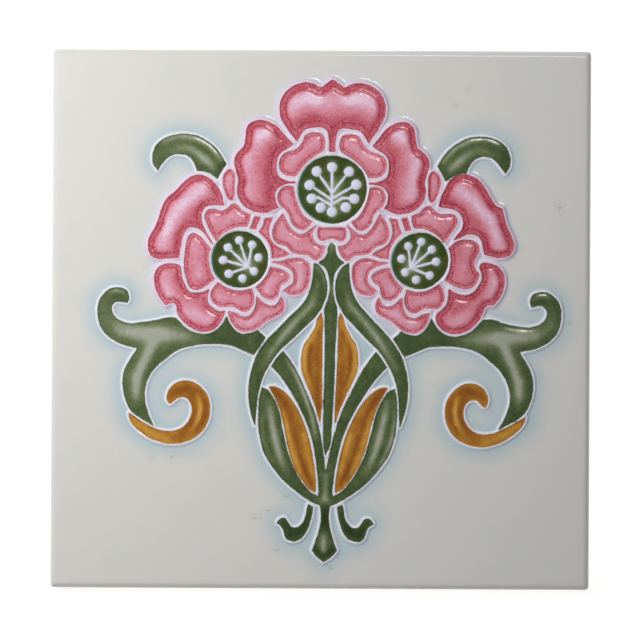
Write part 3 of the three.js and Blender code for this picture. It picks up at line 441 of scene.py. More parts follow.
# Centres of the discs and of the round heads in them. Stems run to the heads of the second list
# from the nearest point of a short column.
MIDDLE_DISC = [0.4, 36.95]
MIDDLE_STAMENS = [
    [0.25, 43.3], [-4.05, 42.0], [4.9, 42.1], [-6.0, 38.15], [7.05, 38.45],
    [-5.35, 34.3], [6.65, 34.45], [-2.75, 31.8], [4.3, 31.95], [0.45, 30.6],
]
MIDDLE_STEMS = [
    [[0.45, 30.6], [0.25, 43.3]],
    [[0.45, 35.9], [-4.05, 42.0]], [[0.45, 35.9], [4.9, 42.1]],
    [[0.4, 34.0], [-6.0, 38.15]], [[0.5, 34.4], [7.05, 38.45]],
    [[0.4, 32.4], [-3.6, 34.7], [-5.35, 34.3]], [[0.5, 32.8], [3.4, 34.6], [6.65, 34.45]],
]
SIDE_DISC = [-25.3, 16.9]
SIDE_STAMENS = [
    [-25.6, 22.3], [-21.95, 21.05], [-28.75, 20.2], [-20.1, 17.45],
    [-30.05, 16.7], [-21.3, 13.6], [-28.4, 12.8], [-24.5, 11.55],
]
SIDE_HUB = [-22.95, 14.8]
SIDE_STEM_HEADS = [0, 1, 2, 4, 5, 6]

# Pinholes and specks that the kiln left in the face, and small brown arcs of painted shadow beside bumps
# in the glaze: [x, y, radius, depth of brown]. Each is gone at about one radius.
SPECKS_AND_SHADOWS = [
    [-11.6, -49.8, 0.4, 0.35], [-10.9, -49.95, 0.4, 0.5], [-10.2, -49.75, 0.35, 0.35],
    [-16.0, -54.0, 0.35, 0.5], [-15.6, -53.9, 0.3, 0.3], [-20.1, -56.2, 0.4, 0.4],
    [-19.6, -56.0, 0.35, 0.3], [-18.0, -56.1, 0.4, 0.3], [-14.2, -65.1, 0.35, 0.3],
    [-13.7, -65.3, 0.35, 0.4], [-13.1, -65.0, 0.35, 0.45], [1.7, -70.1, 0.3, 0.45],
    [2.2, -70.1, 0.3, 0.6],
    [-49.0, -39.2, 0.5, 0.3], [-43.6, -39.2, 0.22, 1.0], [64.8, 32.5, 0.5, 0.6],
    [68.4, 0.0, 0.4, 0.5], [38.5, 66.0, 0.35, 0.35], [35.0, 61.3, 0.4, 0.35],
    [-8.7, -12.3, 0.25, 0.6], [-16.0, -16.3, 0.22, 0.5], [-2.5, -56.7, 0.3, 0.5],
]
SPECK_DEPTH = 0.12
SPECK_AND_SHADOW_FADE = 2

# Tone of a pool, 0 dark to 1 pale: its base, what a streak of weight 1 adds from STREAK_INSET in and up
# to STREAK_END of its reaches, and the dark moat, of which a narrow one keeps MOAT_SHALLOW
BASE_TONE = {ROSE: 0.56, LEAF: 0.33, OCHRE: 0.5, CENTRE: 0.22}
STREAK_GAIN = {ROSE: 0.46, LEAF: 0.8, OCHRE: 0.7, CENTRE: 1}
STREAK_INSET = 0.25
STREAK_END = 3
MOAT_DARK = {ROSE: 0.25, LEAF: 0.04, OCHRE: -0.15, CENTRE: 0}
MOAT_SHALLOW = 0.2

# Dark dots along the foot of a rose pool's shoulder, and the stipple of its moat as [size, weight]
DOT_DARK = 0.5
DOT_WIDTH = 0.26
DOT_GRAIN = [0.42, 3.0]
DOT_SPAN = [-0.5, 0.5]
STIPPLE = [0.4, 0.8]

# The green of the discs thins beside the stamens, as [change, reach], breaks to brown in spots, as
# [size, from, to], turns brown along the right rim and takes a painted teal highlight along the left rim
STAMEN_THIN = [0.27, 0.9]
BROWN_GRAIN = [2.0, 0.03, 0.22]
BROWN_DETAIL = 2.0
RIM_TINT_REACH = 0.8
RIM_TINT_SPAN = [0.25, 1.0]

# A glaze's change of tone across the face, and the x where it starts and where it is whole: the leaves
# grow paler towards the left, a painted sheen, and the rose grows darker towards the right
SIDE_TONES = [[LEAF, 0.09, -20, -45], [ROSE, -0.06, 15, 35]]

# How far each glaze runs up its line, and how much wider than the line its white is
POOL_OVERRUN = {ROSE: 0.22, LEAF: 0.12, OCHRE: 0.12, CENTRE: -0.05}
WHITE_OVERRUN = {ROSE: 0.08, LEAF: 0, OCHRE: 0, CENTRE: 0}

# Where one colour gives way to the next, from and to, and the shade at the foot of a line
POOL_EDGE = [-0.12, 0.1]
LINE_EDGE = [-0.15, 0.2]
STAMEN_EDGE = [-0.22, 0.16]
FOOT_EDGE = [-0.4, -0.05]
FOOT_SHADE = 0.35

# What bled into the field, [weight, reach]: blue from the leaves and buds, less of it and mauve from
# the petals
LEAF_HALO = [0.9, 3.6]
PETAL_HALO = [0.16, 2.4]
MAUVE_HALO = [0.5, 2.0]

# Swells of the field, [length, turn], and how much they wind
FIELD_SWELLS = [[23, 0.4], [14, 1.3], [9, 2.4]]
SWELL_BEND = 1.7
SWELL_STRETCH = 1.6

# Run of the glaze down the sides, with its waves as [size, turns, start]. The bare biscuit begins
# BISCUIT_FROM rings under the face's border.
GLAZE_FOOT = 4.1
GLAZE_THICKNESS = 0.12
GLAZE_RUNS = [[0.45, 3, 0.6], [0.3, 11, 2.1], [0.2, 29, 4.0]]
BISCUIT_FROM = FACE_EDGE_STEPS + 1

# Linear colours: each pool's glaze from deep to thin, and the rest
GLAZE_COLOURS = {
    ROSE: [[0, (0.33, 0.024, 0.048)], [0.3, (0.48, 0.086, 0.125)], [0.58, (0.65, 0.225, 0.285)],
           [0.8, (0.72, 0.375, 0.48)], [1, (0.80, 0.60, 0.72)]],
    LEAF: [[0, (0.024, 0.042, 0.012)], [0.3, (0.060, 0.095, 0.034)], [0.6, (0.155, 0.185, 0.088)],
           [0.85, (0.285, 0.315, 0.225)], [1, (0.36, 0.38, 0.30)]],
    OCHRE: [[0, (0.155, 0.040, 0.007)], [0.4, (0.315, 0.115, 0.017)], [0.7, (0.51, 0.245, 0.035)],
            [1, (0.62, 0.37, 0.11)]],
    CENTRE: [[0, (0.026, 0.040, 0.009)], [0.35, (0.050, 0.078, 0.019)], [0.7, (0.135, 0.168, 0.066)],
             [1, (0.29, 0.32, 0.19)]],
}
STAMEN_COLOUR = (0.68, 0.69, 0.83)
DISC_BROWN = (0.085, 0.065, 0.016)
DISC_TEAL_HIGHLIGHT = (0.045, 0.13, 0.085)
FIELD_COLOUR = (0.66, 0.652, 0.62)
HALO_COLOUR = (0.43, 0.545, 0.585)
MAUVE_COLOUR = (0.66, 0.62, 0.72)
ROSE_LINE_COLOUR = (0.72, 0.62, 0.735)
LEAF_LINE_COLOUR = (0.735, 0.75, 0.82)
FOOT_COLOUR = (0.50, 0.52, 0.68)
# Brown of the specks, partly painted shadow
SPECK_AND_SHADOW_COLOUR = (0.10, 0.06, 0.035)
BISCUIT_COLOUR = (0.62, 0.50, 0.36)
BISCUIT_SHADE = (0.496, 0.40, 0.288)
FLOOR_COLOUR = (0.80, 0.80, 0.80)

# Grains, [size, weight]: in a pool's tone, in the halo, along every edge of colour and, about its middle
# tone, in the biscuit
TONE_GRAINS = [[0.45, 0.35], [1.1, 0.2], [4.5, 0.25]]
HALO_GRAINS = [[1.2, 0.12], [7, 0.2]]
EDGE_GRAINS = [[0.5, 0.25], [2.0, 0.3]]
CLAY_TONE = 0.5
CLAY_GRAINS = [[14, 0.5], [1.2, 0.35]]
PLAIN_DETAIL = 1.0

# Surfaces: how rough each is, and its unevenness as [size, detail, depth]
GLAZE_ROUGHNESS = 0.12
GLAZE_BUMP = [3.0, PLAIN_DETAIL, 0.02]
BISCUIT_ROUGHNESS = 0.85
BISCUIT_BUMP = [0.6, 3.0, 0.08]
FLOOR_ROUGHNESS = 0.9

# Stage: lamps as [name, place, point aimed at, size, spread in degrees, power in watts, whether the
# glaze mirrors it]
FLOOR_REACH = 3000
FLOOR_GLOW = 1.0
ROOM_COLOUR = (1, 1, 1, 1)
ROOM_LIGHT = 0.10
LAMPS = [
    ["window_lamp", (-180, 100, 330), (-60, 0, 0), (200, 200), 180, 1.37, False],
    ["strip_lamp", (130, 350, 880), (0, 0, 0), (240, 60), 180, 0.75, True],
]
SENSOR = 36
CAMERA_HEIGHT = 1200
VIEW_WIDTH = 181.4
VIEW_MIDDLE = (0.4, -0.74)
VIEW_TURN = math.radians(0.3)
VIEW_DEPTH = 12000

# Parts of the bake's map
FACE_SHARE = 0.86
MAP_MARGIN = 0.01

# Marks that the materials read, and those that lie PLAIN_REACH outside off the face's plan, not at 0
MARKS = ["rim", "white", "tone", "shelf", "stipple", "across", "bead", "speck_and_shadow", "halo", "mauve", *GLAZES]
PLAIN_REACH = 2
OUTSIDE_MARKS = ("rim", "white", "shelf", "bead")

# Spacing of the mesh's points
OUTLINE_STEP = 0.37
LINE_ROWS = [0.2, 0.42, 0.7, 1.0, 1.4]
POOL_ROWS = [0.2, 0.45, 0.8]
STAMEN_ROWS = [0, 0.35, 0.7]
ROW_ERROR = 0.04
LEAST_GAP = 0.17
POOL_SPACING = 0.52
DISC_SPACING = 0.34
NEAR_SPACING = 1.0
FAR_SPACING = 2.2
NEAR_FIELD = 5
TIP_DIRECTIONS = 16
SIDE_SPACING = 1.5
BACK_SPACING = 4

# Searches: how far each looks, how many of an outline's points the halo skips, and how many numbers
# one block of a search may hold
FAR = 99.0
SEARCH = 2.2
HALO_SEARCH = 8
HALO_STEP = 4
BEAD_REACH = 2
BLOCK = 2_000_000
LEAST_CORNERS = 6

# Lengths and areas too small to tell from nothing
ON_OUTLINE = 1e-4
LEAST_CHORD = 1e-4
LEAST_SQUARE = 1e-12
JOIN_GAP = 1e-6

# Kind of triangulation that keeps only what the border encloses
INSIDE_ONLY = 1

# Sockets of a Mix node that blends colours
MIX_BELOW = 6
MIX_ABOVE = 7
MIX_RESULT = 2

Pool = namedtuple("Pool", "outline tips glaze line_width")


def mirror_line(x, y):
    """How far right of x = 0 the mirror line lies, for a point at x, y."""
    beside = 1 / (1 + (x / BOW_SPREAD) ** 2)
    along = 1 / (1 + ((y - BOW_MIDDLE) / BOW_REACH) ** 4)
    return AXIS_BOW * beside * along + SIDE_SHIFT * (1 - beside)


def twin(point):
    """The same point, with its mark or weight, on the other side of the axis."""
    x, y, *mark = point
    return [2 * mirror_line(x, y) - x, y, *mark]


def mirrored(points):
    """The points' twins, in reverse so that an outline still runs anticlockwise."""
    return [twin(point) for point in points][::-1]


def spread(span, points):
    """The outlines or streaks that one entry stands for."""
    if span == PAIR:
        return [points, mirrored(points)]
    if span == LONE:
        return [points]
    beside = [p for p in points if abs(p[0] - mirror_line(*p[:2])) > ON_AXIS]
    return [points + mirrored(beside)]


def bend(before, start, end, after, count):
    """Points on the centripetal Catmull-Rom curve from start up to, but without, end."""
    marks = [0]
    for a, b in ((before, start), (start, end), (end, after)):
        marks.append(marks[-1] + max(math.sqrt(math.dist(a, b)), LEAST_CHORD))
    t0, t1, t2, t3 = marks
    t = (t1 + (t2 - t1) * np.arange(count) / count)[:, None]
    a1 = ((t1 - t) * before + (t - t0) * start) / (t1 - t0)
    a2 = ((t2 - t) * start + (t - t1) * end) / (t2 - t1)
    a3 = ((t3 - t) * end + (t - t2) * after) / (t3 - t2)
    b1 = ((t2 - t) * a1 + (t - t0) * a2) / (t2 - t0)
    b2 = ((t3 - t) * a2 + (t - t1) * a3) / (t3 - t1)
    return ((t2 - t) * b1 + (t - t1) * b2) / (t2 - t1)


def smooth(points):
    """The closed curve through an outline's points, OUTLINE_STEP apart."""
    count = len(points)
    at = [np.array(p[:2], float) for p in points]
    sharp = [SHARP in p for p in points]
    parts = []
    for i in range(count):
        j = (i + 1) % count
        before = 2 * at[i] - at[j] if sharp[i] else at[i - 1]
        after = 2 * at[j] - at[i] if sharp[j] else at[(i + 2) % count]
        steps = math.ceil(math.dist(at[i], at[j]) / OUTLINE_STEP)
        parts.append(bend(before, at[i], at[j], after, steps))
    return np.concatenate(parts)


def circle(centre, radius, step=OUTLINE_STEP):
    """Points round a circle, anticlockwise."""
    count = max(LEAST_CORNERS, round(2 * math.pi * radius / step))
    angles = 2 * math.pi * np.arange(count) / count
    return np.array(centre) + radius * np.column_stack([np.cos(angles), np.sin(angles)])


# The ornament is drawn at its own size and scaled to the face
DRAWN_REACH = max(-p[0] for _, points in PETALS + LEAVES + BUDS for p in points)
ORNAMENT_SCALE = (TILE_SIDE / 2 - FIELD_MARGIN) / DRAWN_REACH


def placed(points):
    """From the ornament's own axis to the face of the tile."""
    drawn = np.array(points, float).reshape(-1, 2)
    points = drawn
    for x, y, right, up, reach in UNEVEN_PLACES:
        apart = np.hypot(drawn[:, 0] - x, drawn[:, 1] - y)
        points = points + np.exp(-(apart / reach) ** 2)[:, None] * [right, up]
    points = points * ORNAMENT_SCALE
    points[:, 1] += points[:, 0] * math.tan(ORNAMENT_SLANT)
    c = math.cos(ORNAMENT_TILT)
    s = math.sin(ORNAMENT_TILT)
    return points @ np.array([[c, s], [-s, c]]) + ORNAMENT_SHIFT


def all_pools():
    """Every coloured pool of the face, its outline placed."""
    found = []
    for glaze, entries, width in (
        (ROSE, PETALS, PETAL_LINE_WIDTH),
        (LEAF, LEAVES, LEAF_LINE_WIDTH),
        (OCHRE, BUDS, LEAF_LINE_WIDTH),
    ):
        for entry in entries:
            for points in spread(*entry):
                tips = [p[:2] for p in points if SHARP in p]
                found.append(Pool(placed(smooth(points)), placed(tips), glaze, width))
    for centre, radius in DISCS:
        found.append(Pool(placed(circle(centre, radius)), placed([]), CENTRE, PETAL_LINE_WIDTH))
    return found


DISCS = [
    (MIDDLE_DISC, MIDDLE_DISC_RADIUS),
    (SIDE_DISC, SIDE_DISC_RADIUS),
    (twin(SIDE_DISC), SIDE_DISC_RADIUS),
]
HEADS = [(placed(centre)[0], MIDDLE_STAMEN_RADIUS) for centre in MIDDLE_STAMENS]
HEADS += [(placed(centre)[0], SIDE_STAMEN_RADIUS) for centre in SIDE_STAMENS]
HEADS += [(placed(twin(centre))[0], SIDE_STAMEN_RADIUS) for centre in SIDE_STAMENS]


def all_stems():
    """The stamens' stems as placed polylines."""
    side = [[SIDE_HUB, SIDE_STAMENS[i]] for i in SIDE_STEM_HEADS]
    other = [[twin(p) for p in stem] for stem in side]
    return [placed(stem) for stem in MIDDLE_STEMS + side + other]


STEMS = all_stems()
POOLS = all_pools()


def measure(points, start, end):
    """The distance from each point to the nearest chord, which chord that is, and how far along it."""
    chord = end - start
    length = np.maximum((chord ** 2).sum(1), LEAST_SQUARE)
    distance = np.empty(len(points))
    which = np.empty(len(points), int)
    along = np.empty(len(points))
    block = max(1, BLOCK // len(start))
    for first in range(0, len(points), block):
        to = points[first:first + block, None] - start
        t = np.clip((to * chord).sum(2) / length, 0, 1)
        gap = ((to - t[..., None] * chord) ** 2).sum(2)
        best = gap.argmin(1)
        rows = np.arange(len(best))
        which[first:first + block] = best
        along[first:first + block] = t[rows, best]
        distance[first:first + block] = np.sqrt(gap[rows, best])
    return distance, which, along


def outline_distance(points, outline):
    """The distance from each point to a closed outline."""
    return measure(points, outline, np.roll(outline, -1, axis=0))[0]


def inside(points, outline):
    """Whether each point lies inside a closed outline."""
    x, y = outline.T
    x2, y2 = np.roll(outline, -1, axis=0).T
    result = np.empty(len(points), bool)
    block = max(1, BLOCK // len(outline))
    for first in range(0, len(points), block):
        px, py = points[first:first + block].T[..., None]
        spans = (y > py) != (y2 > py)
        rise = np.where(y2 == y, 1, y2 - y)
        left = px < x + (py - y) / rise * (x2 - x)
        result[first:first + block] = (spans & left).sum(1) % 2 == 1
    return result


def near_box(points, outline, margin):
    """Indices of the points in the outline's box, grown by margin."""
    low = outline.min(0) - margin
    high = outline.max(0) + margin
    return np.flatnonzero(((points > low) & (points < high)).all(1))


def ridge(gap, width, crest):
    """The height, 0 to 1, of a raised line at a distance from the pool that it walls."""
    rise = np.sin(np.clip(gap / CREST_GAP, 0, 1) * math.pi / 2)
    rising = crest * (LINE_START + (1 - LINE_START) * rise)
    fall = np.clip((gap - CREST_GAP) / (width + LINE_FOOT - CREST_GAP), 0, 1)
    return np.where(gap < CREST_GAP, rising, crest * (1 + np.cos(math.pi * fall)) / 2)


def survey(points):
    """Where each point lies among the pools: its home pool and depth in it, or else its gap to the
    nearest one, with the raised lines' joint height and how far it is inside their white glaze."""
    count = len(points)
    home = np.full(count, -1)
    nearest = np.zeros(count, int)
    depth = np.zeros(count)
    gap = np.full(count, FAR)
    flat = np.ones(count)
    white = np.full(count, -FAR)
    for index, pool in enumerate(POOLS):
        near = near_box(points, pool.outline, SEARCH)
        if not len(near):
            continue
        distance = outline_distance(points[near], pool.outline)
        within = inside(points[near], pool.outline) | (distance < ON_OUTLINE)
        home[near[within]] = index
        depth[near[within]] = distance[within]
        white[near[within]] = pool.line_width + distance[within]
        out = near[~within]
        distance = distance[~within]
        closer = distance < gap[out]
        nearest[out[closer]] = index
        gap[out] = np.minimum(gap[out], distance)
        flat[out] *= 1 - ridge(distance, pool.line_width, CREST_SHARES[pool.glaze])
        white[out] = np.maximum(white[out], pool.line_width - distance)
    held = home >= 0
    gap[held] = 0
    nearest[held] = home[held]
    line = 1 - flat
    return {"home": home, "nearest": nearest, "depth": depth, "gap": gap, "line": line, "white": white}


def outset(outline, distance):
    """An anticlockwise outline moved outwards, point for point."""
    chord = np.roll(outline, -1, axis=0) - np.roll(outline, 1, axis=0)
    normal = np.column_stack([chord[:, 1], -chord[:, 0]])
    return outline + distance * normal / np.linalg.norm(normal, axis=1)[:, None]


def row_points(signed):
    """Points at one distance outside the pools, or inside where it is under zero."""
    found = []
    for pool in POOLS:
        found.append(outset(pool.outline, signed))
        for tip in pool.tips:
            found.append(circle(tip, abs(signed), 2 * math.pi * abs(signed) / TIP_DIRECTIONS))
    points = np.concatenate(found)
    place = survey(points)
    actual = np.where(place["home"] >= 0, -place["depth"], place["gap"])
    return points[np.abs(actual - signed) < ROW_ERROR]


def lattice(spacing, half_width):
    """A lattice of equal triangles over the middle of the face."""
    rise = spacing * math.sqrt(3) / 2
    rows = math.ceil(half_width / rise)
    columns = math.ceil(half_width / spacing)
    y, x = np.mgrid[-rows:rows + 1, -columns:columns + 1]
    points = np.column_stack([((x + (y % 2) / 2) * spacing).ravel(), (y * rise).ravel()])
    return points[(np.abs(points) < half_width).all(1)]


def stamen_points():
    """Rings on the stamens' heads, and rows along both sides of their stems."""
    found = []
    for centre, radius in HEADS:
        for inset in STAMEN_ROWS:
            found.append(circle(centre, radius - inset))
        found.append(centre[None])
    for stem in STEMS:
        for start, end in zip(stem[:-1], stem[1:]):
            steps = math.ceil(math.dist(start, end) / OUTLINE_STEP)
            line = start + np.linspace(0, 1, steps + 1)[:, None] * (end - start)
            side = np.array([end[1] - start[1], start[0] - end[0]]) / math.dist(start, end)
            for offset in (0, -STEM_WIDTH / 2, STEM_WIDTH / 2):
                found.append(line + offset * side)
    points = np.concatenate(found)
    return points[survey(points)["depth"] > LEAST_GAP]


def speck_points():
    """Small rosettes round the pinholes."""
    found = []
    for x, y, radius, _ in SPECKS_AND_SHADOWS:
        centre = placed([x, y])[0]
        found += [centre[None], circle(centre, radius / 2), circle(centre, radius)]
    return np.concatenate(found)


def fill_points():
    """Lattice points: fine in the pools, finer in the discs, and coarser away from the ornament."""
    half = TILE_SIDE / 2 - FACE_EDGE_RADIUS
    edge = half - FAR_SPACING / 2
    found = []
    is_disc = np.array([pool.glaze == CENTRE for pool in POOLS])
    fine = lattice(DISC_SPACING, half)
    near = [near_box(fine, placed([centre]), radius) for centre, radius in DISCS]
    for points, spacing, disc in (
        (fine[np.concatenate(near)], DISC_SPACING, True),
        (lattice(POOL_SPACING, half), POOL_SPACING, False),
    ):
        place = survey(points)
        wanted = (place["depth"] > POOL_ROWS[-1]) & (is_disc[place["nearest"]] == disc)
        found.append((points[wanted], spacing))
    points = lattice(NEAR_SPACING, edge)
    gap = halo_gap(points)
    found.append((points[(gap > LINE_ROWS[-1]) & (gap < NEAR_FIELD)], NEAR_SPACING))
    points = lattice(FAR_SPACING, edge)
    found.append((points[halo_gap(points) >= NEAR_FIELD], FAR_SPACING))
    return found


def halo_gap(points):
    """The distance to the nearest pool, up to HALO_SEARCH. It is 0 inside a pool."""
    gap = np.full(len(points), FAR)
    for pool in POOLS:
        near = near_box(points, pool.outline, HALO_SEARCH)
        coarse = pool.outline[::HALO_STEP]
        distance = outline_distance(points[near], coarse)
        distance[inside(points[near], coarse)] = 0
        gap[near] = np.minimum(gap[near], distance)
    return gap


class Thinner:
    """Takes points one by one and refuses any that lies too near one that it has."""

    def __init__(self):
        self.points = []
        self.cells = {}

    def room(self, x, y, least):
        """Whether no point that it has lies nearer than least."""
        reach = math.ceil(least / LEAST_GAP)
        column = math.floor(x / LEAST_GAP)
        row = math.floor(y / LEAST_GAP)
        for i in range(column - reach, column + reach + 1):
            for j in range(row - reach, row + reach + 1):
                for k in self.cells.get((i, j), ()):
                    if math.dist(self.points[k], (x, y)) < least:
                        return False
        return True

    def take(self, points, least=0.0):
        """The indices that the points have, in order. With least, those too near are left out."""
        taken = []
        for x, y in points.tolist():
            if least and not self.room(x, y, least):
                continue
            cell = (math.floor(x / LEAST_GAP), math.floor(y / LEAST_GAP))
            self.cells.setdefault(cell, []).append(len(self.points))
            taken.append(len(self.points))
            self.points.append((x, y))
        return taken


def square_outline(inset):
    """The outline of a square with round corners, with points along its sides too, drawn in by inset."""
    radius = max(CORNER_RADIUS - inset, LEAST_CORNER_RADIUS)
    middle = TILE_SIDE / 2 - inset - radius
    steps = round(TILE_SIDE / SIDE_SPACING)
    points = []
    for corner in range(4):
        turn = corner * math.pi / 2
        c = math.cos(turn)
        s = math.sin(turn)
        local = []
        for step in range(CORNER_STEPS + 1):
            angle = step / CORNER_STEPS * math.pi / 2
            local.append((middle + radius * math.cos(angle), middle + radius * math.sin(angle)))
        for step in range(1, steps):
            local.append((middle - 2 * middle * step / steps, middle + radius))
        points += [(c * x - s * y, s * x + c * y) for x, y in local]
    return np.array(points)


def triangulate(points, edges):
    """Triangles between points in a plane that keep the given edges. Returns the points used too."""
    result = delaunay_2d_cdt([Vector(p) for p in points], edges, [], INSIDE_ONLY, JOIN_GAP, True)
    return np.array([tuple(p) for p in result[0]]), np.array(result[2])


def loop_edges(indices):
    """The edges of a closed outline through these points."""
    return list(zip(indices, indices[1:] + indices[:1]))


def face_plan():
    """The flat plan of the glazed face: points, the border's first, and triangles."""
    thinner = Thinner()
    edges = loop_edges(thinner.take(square_outline(FACE_EDGE_RADIUS)))
    for pool in POOLS:
        edges += loop_edges(thinner.take(pool.outline))
    for row in LINE_ROWS:
        thinner.take(row_points(row), LEAST_GAP)
    for row in POOL_ROWS:
        thinner.take(row_points(-row), LEAST_GAP)
    thinner.take(stamen_points(), LEAST_GAP)
    thinner.take(speck_points(), LEAST_GAP)
    for points, spacing in fill_points():
        thinner.take(points, spacing / 2)
    return triangulate(thinner.points, edges)


def wave(points, length, turn):
    """Slow swells of about that length, between -1 and 1."""
    u = points[:, 0] * math.cos(turn) + points[:, 1] * math.sin(turn)
    v = points[:, 1] * math.cos(turn) - points[:, 0] * math.sin(turn)
    wind = SWELL_BEND * np.sin(2 * math.pi * v / (SWELL_STRETCH * length))
    return np.sin(2 * math.pi * u / length + wind)


def fading(distance, weight, reach):
    """A weight that fades with the distance."""
    return weight * np.exp(-(distance / reach) ** 2)


def streak_sum(points, place):
    """The streaks' joint weight at each point."""
    total = np.zeros(len(points))
    for span, reach, path in PETAL_STREAKS + LEAF_STREAKS + BUD_STREAKS + DISC_STREAKS:
        for line in spread(span, path):
            xy = placed([p[:2] for p in line])
            weight = np.array([p[2] for p in line])
            own = survey(xy[:1])["home"][0]
            near = near_box(points, xy, STREAK_END * reach)
            near = near[place["nearest"][near] == own]
            distance, which, along = measure(points[near], xy[:-1], xy[1:])
            level = weight[which] * (1 - along) + weight[which + 1] * along
            total[near] += fading(distance, level, reach)
    return total


def bead_depth(points):
    """How far each point is inside a stamen's head or stem. It is under zero outside them."""
    best = np.full(len(points), -BEAD_REACH)
    for centre, radius in HEADS:
        distance = np.linalg.norm(points - centre, axis=1)
        best = np.maximum(best, radius - distance)
    for stem in STEMS:
        near = near_box(points, stem, BEAD_REACH)
        distance = measure(points[near], stem[:-1], stem[1:])[0]
        best[near] = np.maximum(best[near], STEM_WIDTH / 2 - distance)
    return best


def head_dome(points):
    """The height of the stamens' round heads over the disc, 0 to 1."""
    best = np.zeros(len(points))
    for centre, radius in HEADS:
        distance = np.linalg.norm(points - centre, axis=1) / radius
        best = np.maximum(best, np.sqrt(np.clip(1 - distance ** HEAD_FLATNESS, 0, 1)))
    return best


def speck_and_shadow_mark(points):
    """The brown of the specks and of the painted shadow beside small bumps, 0 to 1."""
    mark = np.zeros(len(points))
    for x, y, radius, brown in SPECKS_AND_SHADOWS:
        distance = np.linalg.norm(points - placed([x, y]), axis=1)
        mark = np.maximum(mark, brown * np.exp(-(distance / radius) ** 2 * SPECK_AND_SHADOW_FADE))
    return mark


def pool_reach(place):
    """The greatest depth of the pool that each point is in or nearest to."""
    reach = np.zeros(len(POOLS))
    np.maximum.at(reach, place["nearest"], place["depth"])
    return reach[place["nearest"]]


def halo_mark(points):
    """The pale blue that bled from the leaves and buds into the field, 0 to 1, and the petals' mauve."""
    clear = np.ones(len(points))
    mauve = np.ones(len(points))
    for pool in POOLS:
        near = near_box(points, pool.outline, HALO_SEARCH)
        distance = outline_distance(points[near], pool.outline[::HALO_STEP])
        if pool.glaze in (LEAF, OCHRE):
            clear[near] *= 1 - fading(distance, *LEAF_HALO)
        else:
            clear[near] *= 1 - fading(distance, *PETAL_HALO)
            mauve[near] *= 1 - fading(distance, *MAUVE_HALO)
    return 1 - clear, 1 - mauve


def ease(value):
    """Smoothly from 0 to 1 as the value does."""
    value = np.clip(value, 0, 1)
    return value * value * (3 - 2 * value)


def by_glaze(table, glaze):
    """Each point's number from a table of the glazes."""
    return sum(table[name] * (glaze == name) for name in GLAZES)


def disc_side(points):
    """How far right of its disc's centre each point lies, -1 to 1 from rim to rim."""
    side = np.zeros(len(points))
    for centre, radius in DISCS:
        x, y = placed([centre])[0]
        near = np.hypot(points[:, 0] - x, points[:, 1] - y) < radius
        side[near] = (points[near, 0] - x) / radius
    return side


def tone_mark(points, marks, moat, shoulder):
    """The tone of the glaze in its pool, 0 dark to 1 pale."""
    glaze = marks["glaze"]
    inner = np.where(glaze == ROSE, shoulder, ease(marks["depth"] / STREAK_INSET))
    tone = by_glaze(BASE_TONE, glaze) + by_glaze(STREAK_GAIN, glaze) * marks["streak"] * inner
    least, most = MOAT_WIDTHS
    wide = np.maximum(ease((moat - least) / (most - least)), MOAT_SHALLOW)
    tone -= by_glaze(MOAT_DARK, glaze) * wide * (1 - shoulder)
    weight, reach = STAMEN_THIN
    tone += (glaze == CENTRE) * fading(np.minimum(marks["bead"], 0), weight, reach)
    # Painted sheen makes the leaves paler towards the left; the rose is darker towards the right
    for name, change, start, end in SIDE_TONES:
        tone += change * (glaze == name) * ease((points[:, 0] - start) / (end - start))
    return tone


def face_marks(points):
    """What the relief and the colours of the face depend on, as named numbers for each point."""
    place = survey(points)
    glaze = np.array([pool.glaze for pool in POOLS])[place["nearest"]]
    depth = place["depth"]
    reach = pool_reach(place)
    moat = np.clip(MOAT_SHARE * reach, *MOAT_WIDTHS)
    slope = np.clip(SHOULDER_SHARE * reach, *SHOULDER_WIDTHS)
    shoulder = ease((depth - moat) / slope)
    shelf = np.clip(depth - moat, -BEAD_REACH, BEAD_REACH)
    rim = np.where(place["home"] >= 0, depth, -np.minimum(place["gap"], SEARCH))
    marks = {name: (glaze == name).astype(float) for name in GLAZES}
    marks["glaze"] = glaze
    marks["depth"] = depth
    marks["line"] = place["line"]
    marks["held"] = (place["home"] >= 0).astype(float)
    marks["crown"] = SHOULDER_RISE * slope * shoulder * (glaze == ROSE)
    marks["cushion"] = by_glaze(CUSHION_LIFT, glaze)
    marks["start"] = LINE_START * LINE_HEIGHT * by_glaze(CREST_SHARES, glaze)
    marks["shelf"] = np.where(glaze == ROSE, shelf, -BEAD_REACH)
    marks["stipple"] = (glaze == ROSE) * (1 - shoulder)
    marks["across"] = (glaze == CENTRE) * disc_side(points) * fading(depth, 1, RIM_TINT_REACH)
    marks["rim"] = rim + by_glaze(POOL_OVERRUN, glaze)
    marks["white"] = np.maximum(place["white"] + by_glaze(WHITE_OVERRUN, glaze), -SEARCH)
    marks["streak"] = streak_sum(points, place)
    marks["bead"] = bead_depth(points)
    marks["tone"] = tone_mark(points, marks, moat, shoulder)
    marks["speck_and_shadow"] = speck_and_shadow_mark(points)
    marks["halo"], marks["mauve"] = halo_mark(points)
    return marks


